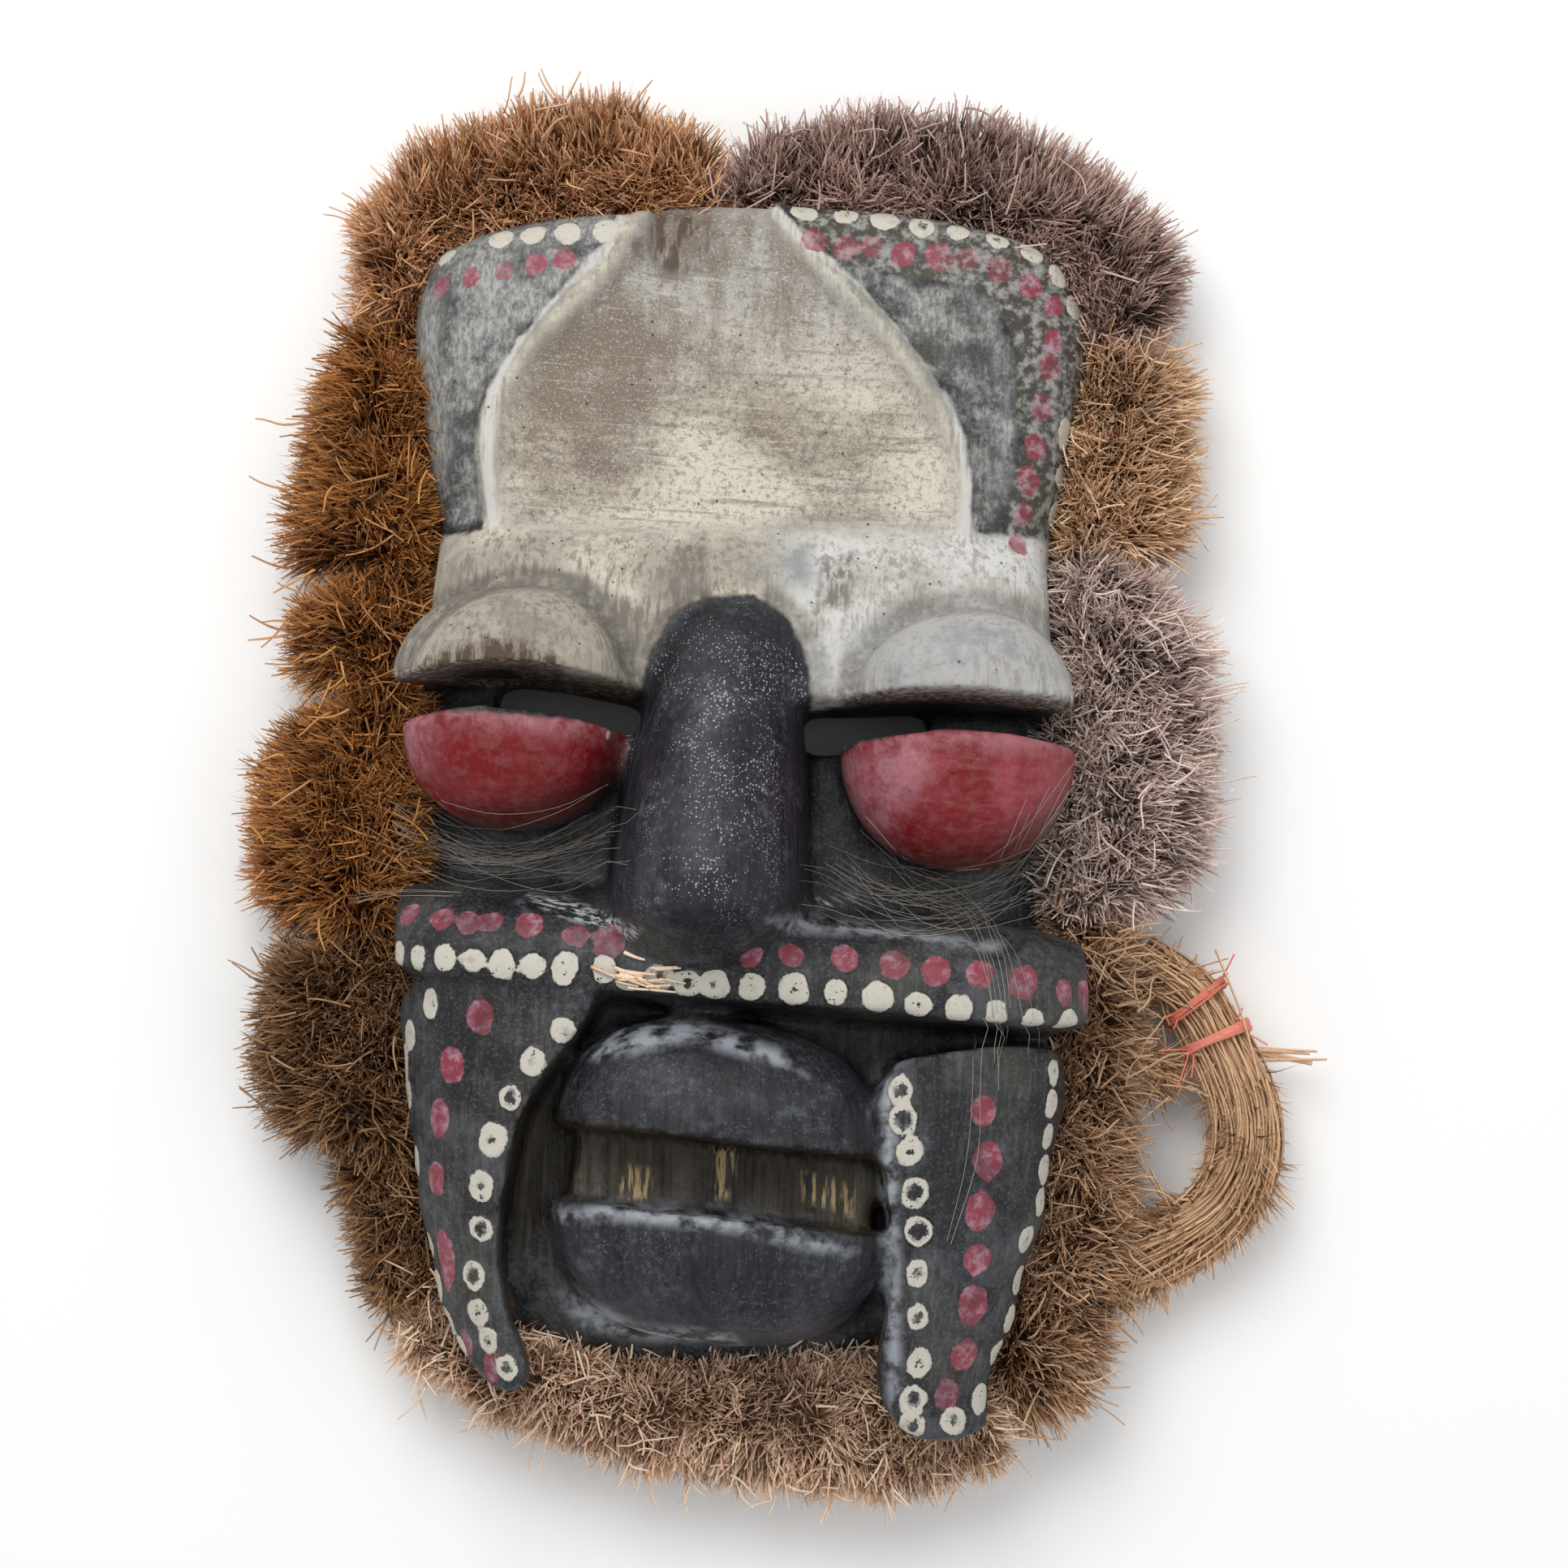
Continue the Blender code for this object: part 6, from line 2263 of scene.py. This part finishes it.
@dataclass
class LooseBundle:
    """The tied straw bundle at the lower right, with its loop, its ties and its cut stalks.

    Attributes:
        shift: The offset of the mask's own coordinates in the scene.
        ruff: The ruff, whose materials and trees it shares.
        loop: The loop's middle line, with its radius at each point.
        strand: The short strand's middle line, with its radius at each point.
        tie_shares: Where the red ties sit, as shares of the loop's length.
    """

    shift: Vector
    ruff: Ruff
    loop: tuple[Place, ...] = (
        (0.1370, -0.0500, 0.0110),
        (0.1545, -0.0610, 0.0115),
        (0.1655, -0.0790, 0.0120),
        (0.1735, -0.0980, 0.0125),
        (0.1735, -0.1165, 0.0130),
        (0.1655, -0.1330, 0.0130),
        (0.1500, -0.1450, 0.0125),
        (0.1330, -0.1530, 0.0120),
        (0.1180, -0.1590, 0.0110),
    )
    strand: tuple[Place, ...] = (
        (0.1230, -0.0770, 0.0100),
        (0.1360, -0.0840, 0.0095),
        (0.1470, -0.0880, 0.0090),
    )
    tie_shares: tuple[tuple[str, float], ...] = (("tie_upper", 0.16), ("tie_lower", 0.25))

    def line(self, points: tuple[Place, ...], count: int) -> tuple[np.ndarray, np.ndarray]:
        """Place a middle line in the scene and read its radius along it."""
        rows = smooth_line(np.array(points), count)
        radius = rows[:, 2].copy()
        rows[:, 2] += 0.004
        return rows + np.array([self.shift.x, self.shift.y, 0.0]), radius

    def across(self, line: np.ndarray) -> tuple[np.ndarray, np.ndarray, np.ndarray]:
        """Find the directions along a line, beside it and above it."""
        along = np.gradient(line, axis=0)
        along /= np.linalg.norm(along, axis=1)[:, None]
        beside = np.cross(along, (0, 0, 1))
        beside /= np.linalg.norm(beside, axis=1)[:, None]
        return along, beside, np.cross(beside, along)

    def lay_strands(
        self, bunch: Strands, line: np.ndarray, radius: np.ndarray, count: int, seed: int, spread: float
    ) -> None:
        """Lay strands round a middle line.

        Args:
            bunch: What they are added to.
            line: The middle line.
            radius: The bundle's radius along it.
            count: How many strands there are.
            seed: The seed of their places.
            spread: How far single strands stray.
        """
        chance = np.random.default_rng(seed)
        _, beside, above = self.across(line)
        share = np.linspace(0, 1, len(line))
        third = max(1, len(line) // 3)
        for _ in range(count):
            angle = chance.uniform(0, 2 * math.pi) + share * chance.uniform(-1.6, 1.6)
            depth = chance.uniform(0.40, 0.84)
            depth = depth + spread * np.sin(share * chance.uniform(3, 9) + chance.uniform(0, 6))
            start = int(chance.integers(0, third))
            end = len(line) - int(chance.integers(0, third))
            reach = (radius * np.minimum(depth, 1.05))[:, None]
            path = line + reach * (np.cos(angle)[:, None] * beside + np.sin(angle)[:, None] * above)
            path[:, 2] = np.maximum(path[:, 2], FIBRE_FLOOR)
            bunch.add(path[start:end], chance.uniform(0.00045, 0.00075), chance.uniform(0.2, 1.0))

    def tube_piece(
        self, name: str, bunch: Strands, fibre: Fibre, slot: str, sides: int
    ) -> bpy.types.Object:
        """Make strands a piece that rides on the mask.

        Args:
            name: The piece's name.
            bunch: The strands.
            fibre: The strands' finish.
            slot: The record's material slot; not used.
            sides: How many sides a strand has.

        Returns:
            The piece.
        """
        piece = add_object(name, bunch.mesh(name))
        run_tree(piece, self.ruff.trees.tubes, Material=self.ruff.finish_of(fibre), Sides=sides)
        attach(piece, BODY)
        LOG.info("%s: %d faces", name, len(piece.data.polygons))
        return piece

    def build_bundle(self) -> None:
        """Lay the strands of the loop and the short strand, and the single straws."""
        bunch = Strands()
        self.lay_strands(bunch, *self.line(self.loop, 26), 430, 21, 0.16)
        self.lay_strands(bunch, *self.line(self.strand, 10), 150, 22, 0.14)
        self.lay_straws(bunch)
        self.tube_piece("straw_bundle", bunch, Fibre.BUNDLE, "straw_raffia", 3)

    def lay_straws(self, bunch: Strands) -> None:
        """Lay the few long straws that cross the loop's opening or stand off it."""
        chance = np.random.default_rng(25)
        camera = self.ruff.camera
        for pixels in STRAWS:
            height = chance.uniform(0.020, 0.027)
            path = []
            for pixel in smooth_line(np.array(pixels, float), 9):
                direction = camera.ray(tuple(pixel))
                path.append(np.array(camera.eye + direction * ((height - camera.eye.z) / direction.z)))
            bunch.add(np.array(path), 0.00050, chance.uniform(0.75, 1.0))

    def bristle_core(self, name: str, points: tuple[Place, ...], first: float) -> bpy.types.Object:
        """Make the surface that the bundle's cut ends grow from.

        Args:
            name: The piece's name.
            points: The middle line with its radius.
            first: The share of the line at which the cut ends begin.

        Returns:
            An object whose surface leans its fibres along the line.
        """
        line, radius = self.line(points, 28)
        along, beside, above = self.across(line)
        sides = 12
        angles = np.arange(sides) * 2 * math.pi / sides
        rings, leans, cover = [], [], []
        for step in range(len(line)):
            share = step / (len(line) - 1)
            for angle in angles:
                away = math.cos(angle) * beside[step] + math.sin(angle) * above[step]
                rings.append(line[step] + away * radius[step] * 0.50)
                leans.append(along[step] * 0.95 + away * 0.30)
                cover.append(float(smooth_step(np.array([share]), first, first + 0.2)[0]))
        faces = []
        for step in range(len(line) - 1):
            for side in range(sides):
                here, there = step * sides + side, step * sides + (side + 1) % sides
                faces.append((here, there, there + sides, here + sides))
        last = (len(line) - 1) * sides
        faces += [tuple(range(sides))[::-1], tuple(range(last, last + sides))]
        mesh = bpy.data.meshes.new(name)
        mesh.from_pydata(rings, [], faces)
        builder = bmesh.new()
        builder.from_mesh(mesh)
        bmesh.ops.recalc_face_normals(builder, faces=builder.faces)
        builder.to_mesh(mesh)
        builder.free()
        store(mesh, "outward", np.array(leans))
        store(mesh, "cover", np.array(cover))
        return add_object(name, mesh)

    def build_ends(self) -> None:
        """Add the cut ends that stand out along the loop and the strand."""
        for name, points, first, seed in (
            ("loop_ends", self.loop, 0.26, 31),
            ("strand_ends", self.strand, 0.0, 32),
        ):
            piece = self.bristle_core(name, points, first)
            run_tree(
                piece,
                self.ruff.trees.bristles,
                Material=self.ruff.finish_of(Fibre.BUNDLE),
                Density=720000.0,
                Length=0.0155,
                Radius=self.ruff.radius,
                Lift=0.12,
                Normal_Share=0.35,
                Tuft=0.90,
                Tuft_Scale=60.0,
                Jitter=0.70,
                Seed=seed,
            )
            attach(piece, BODY)
            LOG.info("%s: %d faces", piece.name, len(piece.data.polygons))

    def build_ties(self) -> None:
        """Wind the red thread round the bundle."""
        line, radius = self.line(self.loop, 200)
        along, beside, above = self.across(line)
        for number, (node, share) in enumerate(self.tie_shares):
            chance = np.random.default_rng(40 + number)
            middle = int(share * (len(line) - 1))
            bunch = Strands()
            for _ in range(3):
                turns = 4
                steps = 20 * turns
                turn = np.linspace(0, 2 * math.pi * turns, steps)
                slide = np.linspace(-0.0016, 0.0016, steps) + chance.uniform(-0.0006, 0.0006)
                slide += 0.0006 * np.sin(turn * chance.uniform(0.6, 1.4))
                size = radius[middle] * 1.03 + chance.uniform(0.0, 0.0006)
                ring = np.cos(turn)[:, None] * beside[middle] + np.sin(turn)[:, None] * above[middle]
                path = line[middle] + size * ring + slide[:, None] * along[middle]
                path[:, 2] = np.maximum(path[:, 2], STRAND_FLOOR)
                bunch.add(path, 0.00042, chance.uniform(0.2, 0.9))
            for _ in range(5):
                away = beside[middle] * chance.uniform(
                    0.5, 1.0
                ) * chance.choice([-1, 1]) + above[middle] * 0.5
                start = line[middle] + away * radius[middle] * 0.9
                end = start + away * chance.uniform(0.006, 0.012) + along[middle] * chance.uniform(
                    -0.008, 0.010
                )
                bend = (start + end) / 2 + above[middle] * 0.002
                path = smooth_line(np.array([start, bend, end]), 10)
                path[:, 2] = np.maximum(path[:, 2], STRAND_FLOOR)
                bunch.add(path, 0.0003, chance.uniform(0.3, 0.9))
            piece = self.tube_piece(f"{node}_thread", bunch, Fibre.THREAD, "red_thread", 6)
            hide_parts(node)

    def build_stalks(self, frame: dict) -> None:
        """Lay five thin stalks along the cut stalk's box, in its place."""
        low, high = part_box("raffia_stalk")
        start = Vector((low.x, (low.y + high.y) / 2, (low.z + high.z) / 2))
        end = Vector((high.x, start.y, start.z))
        chance = np.random.default_rng(51)
        bunch = Strands()
        for _ in range(5):
            offset = [-0.006, chance.uniform(-0.0025, 0.0025), chance.uniform(-0.001, 0.002)]
            begin = np.array(start) + np.array(offset)
            reach = chance.uniform(0.55, 1.0)
            finish = np.array(start.lerp(end, reach)) + np.array(
                [0, chance.uniform(-0.0025, 0.0025), 0]
            )
            path = smooth_line(np.array([begin, (begin + finish) / 2, finish]), 8)
            bunch.add(path, np.linspace(0.0009, 0.0004, len(path)), chance.uniform(0.5, 1.0))
        piece = self.tube_piece("cut_stalks", bunch, Fibre.STRAW, "straw_raffia", 5)
        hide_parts("raffia_stalk")

    def build(self, frame: dict) -> None:
        """Make the whole bundle."""
        self.build_bundle()
        self.build_ends()
        self.build_ties()
        self.build_stalks(frame)


@dataclass(frozen=True)
class HairFamily:
    """Stray hairs that follow about the same way over the carving.

    Attributes:
        name: Where they lie.
        pixels: The points that the middle hair passes over.
        count: How many there are.
        stray: How far a hair strays from the middle one, in pixels.
        radius: The radius of a hair.
    """

    name: str
    pixels: tuple[Pixel, ...]
    count: int
    stray: float
    radius: float = 0.00009


# How many of a hair's points a dried scrap keeps
SCRAP_POINTS = 5
SCRAPS = HairFamily(
    "dried scraps on the band", ((742, 1192), (790, 1204), (856, 1212)), 22, 14.0, 0.00055
)
HAIRS = (
    HairFamily(
        "under the left lid",
        ((500, 1012), (545, 1040), (612, 1060), (690, 1050), (752, 1024)),
        24,
        40.0,
    ),
    HairFamily("left cheek", ((505, 1040), (570, 1062), (650, 1060), (730, 1036)), 10, 30.0),
    HairFamily(
        "under the right lid",
        ((1040, 1066), (1100, 1102), (1180, 1108), (1270, 1068), (1340, 976)),
        28,
        50.0,
    ),
    HairFamily(
        "over the band", ((1120, 1086), (1180, 1116), (1214, 1160), (1230, 1220), (1234, 1300)), 8, 30.0
    ),
    HairFamily(
        "over the right panel", ((1200, 1250), (1196, 1330), (1186, 1420), (1160, 1520)), 2, 14.0
    ),
    HairFamily("left band end", ((440, 1100), (500, 1096), (560, 1100)), 3, 10.0),
)


@dataclass
class StrayHairs:
    """The thin pale hairs that lie over the carving."""

    camera: PhotoCamera
    wood: CarvedWood
    bundle: LooseBundle
    lift: float = 0.0009
    points: int = 16

    def lay(self, family: HairFamily, chance: np.random.Generator) -> np.ndarray:
        """Lay one hair over the wood.

        Args:
            family: The family it belongs to.
            chance: The source of its own course.

        Returns:
            The hair's points.
        """
        pixels = np.array(family.pixels, float)
        share = np.linspace(0, 1, len(pixels))[:, None]
        first, last = chance.normal(0, family.stray * 0.65, (2, 2))
        pixels += (1 - share) * first + share * last + chance.normal(
            0, family.stray * 0.10, pixels.shape
        )
        course = smooth_line(pixels, self.points)
        height = 0.05
        path = []
        for pixel in course:
            direction = self.camera.ray(tuple(pixel))
            hit = self.wood.tree.ray_cast(self.camera.eye, direction)[0]
            if hit is None:
                hit = self.camera.eye + direction * ((height - self.camera.eye.z) / direction.z)
            height = hit.z
            path.append(np.array(hit - direction * (self.lift + chance.uniform(0, 0.0006))))
        path = np.array(path)
        for _ in range(2):
            path[1:-1, 2] = np.maximum(path[1:-1, 2], (path[:-2, 2] + path[2:, 2]) / 2)
        return path

    def build(self) -> None:
        """Lay the hairs as one piece and the dried scraps as another."""
        chance = np.random.default_rng(61)
        hairs = Strands()
        for family in HAIRS:
            for _ in range(family.count):
                path = self.lay(family, chance)
                hairs.add(path, family.radius * chance.uniform(0.8, 1.3), chance.uniform(0.2, 1.0))
        self.bundle.tube_piece("stray_hairs", hairs, Fibre.HAIR, "straw_raffia", 4)
        scraps = Strands()
        for _ in range(SCRAPS.count):
            path = self.lay(SCRAPS, chance)
            first = int(chance.integers(0, len(path) - SCRAP_POINTS))
            path = path[first : first + SCRAP_POINTS]
            girth = np.linspace(1.0, 0.5, len(path)) * SCRAPS.radius * chance.uniform(0.7, 1.5)
            scraps.add(path, girth, chance.uniform(0.3, 1.0))
        self.bundle.tube_piece("band_scraps", scraps, Fibre.BROWN, "straw_raffia", 4)


# The studio


@dataclass
class Studio:
    """A plain pale floor and soft light."""

    floor_size: float = 8.0
    key_power: float = 15.0
    fill_power: float = 3.2
    sky: float = 0.62

    def floor(self) -> None:
        """Lay the floor."""
        half = self.floor_size / 2
        mesh = bpy.data.meshes.new("floor")
        mesh.from_pydata(
            [(-half, -half, 0), (half, -half, 0), (half, half, 0), (-half, half, 0)], [], [(0, 1, 2, 3)]
        )
        nodes, shader, material = new_material("pale_floor")
        place = nodes.add("ShaderNodeTexCoord").outputs["Object"]
        shade = nodes.noise(place, 3.0, 2.0)
        nodes.feed(
            shader.inputs["Base Color"], nodes.mix(shade, (0.900, 0.900, 0.900), (0.930, 0.930, 0.930))
        )
        shader.inputs["Roughness"].default_value = 0.9
        mesh.materials.append(material)
        floor = add_object("floor", mesh)
        floor.location.z = -0.0002

    def lamp(
        self, name: str, place: tuple[float, float, float], size: float, power: float, tint: Colour
    ) -> None:
        """Hang a soft square lamp that looks at the mask.

        Args:
            name: The lamp's name.
            place: Where it hangs.
            size: The length of its sides.
            power: Its power.
            tint: Its colour.
        """
        data = bpy.data.lights.new(name, "AREA")
        data.energy = power
        data.size = size
        data.color = tint
        lamp = bpy.data.objects.new(name, data)
        lamp.location = place
        lamp.rotation_euler = (-Vector(place)).to_track_quat("-Z", "Y").to_euler()
        bpy.context.scene.collection.objects.link(lamp)

    def build(self) -> None:
        """Set the floor, the sky and the lamps."""
        self.floor()
        world = bpy.data.worlds.new("studio")
        world.use_nodes = True
        background = world.node_tree.nodes["Background"]
        background.inputs["Color"].default_value = (1.0, 1.0, 1.0, 1.0)
        background.inputs["Strength"].default_value = self.sky
        bpy.context.scene.world = world
        bpy.context.scene.view_settings.view_transform = "Standard"
        self.lamp("key", (-0.34, 0.74, 1.28), 1.0, self.key_power, (1.0, 0.985, 0.96))
        self.lamp("fill", (0.90, -0.50, 1.20), 1.4, self.fill_power, (0.95, 0.98, 1.0))


def main() -> None:
    """Load the frame and build the scene."""
    logging.basicConfig(level=logging.INFO, format="%(name)s: %(message)s")
    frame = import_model()
    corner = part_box(WOOD_NODE)[1]
    shift = Vector((corner.x - WOOD_REACH_X, corner.y - WOOD_REACH_Y, 0.0))
    camera = PhotoCamera(shift)
    camera.build()
    Studio().build()
    wood = CarvedWood(camera)
    wood.build(frame, PaintFinish().build(Effects()))
    ruff = Ruff(camera, FibreTrees())
    ruff.build(frame)
    bundle = LooseBundle(shift, ruff)
    bundle.build(frame)
    StrayHairs(camera, wood, bundle).build()
    LOG.info("done")


if __name__ == "__main__":
    main()
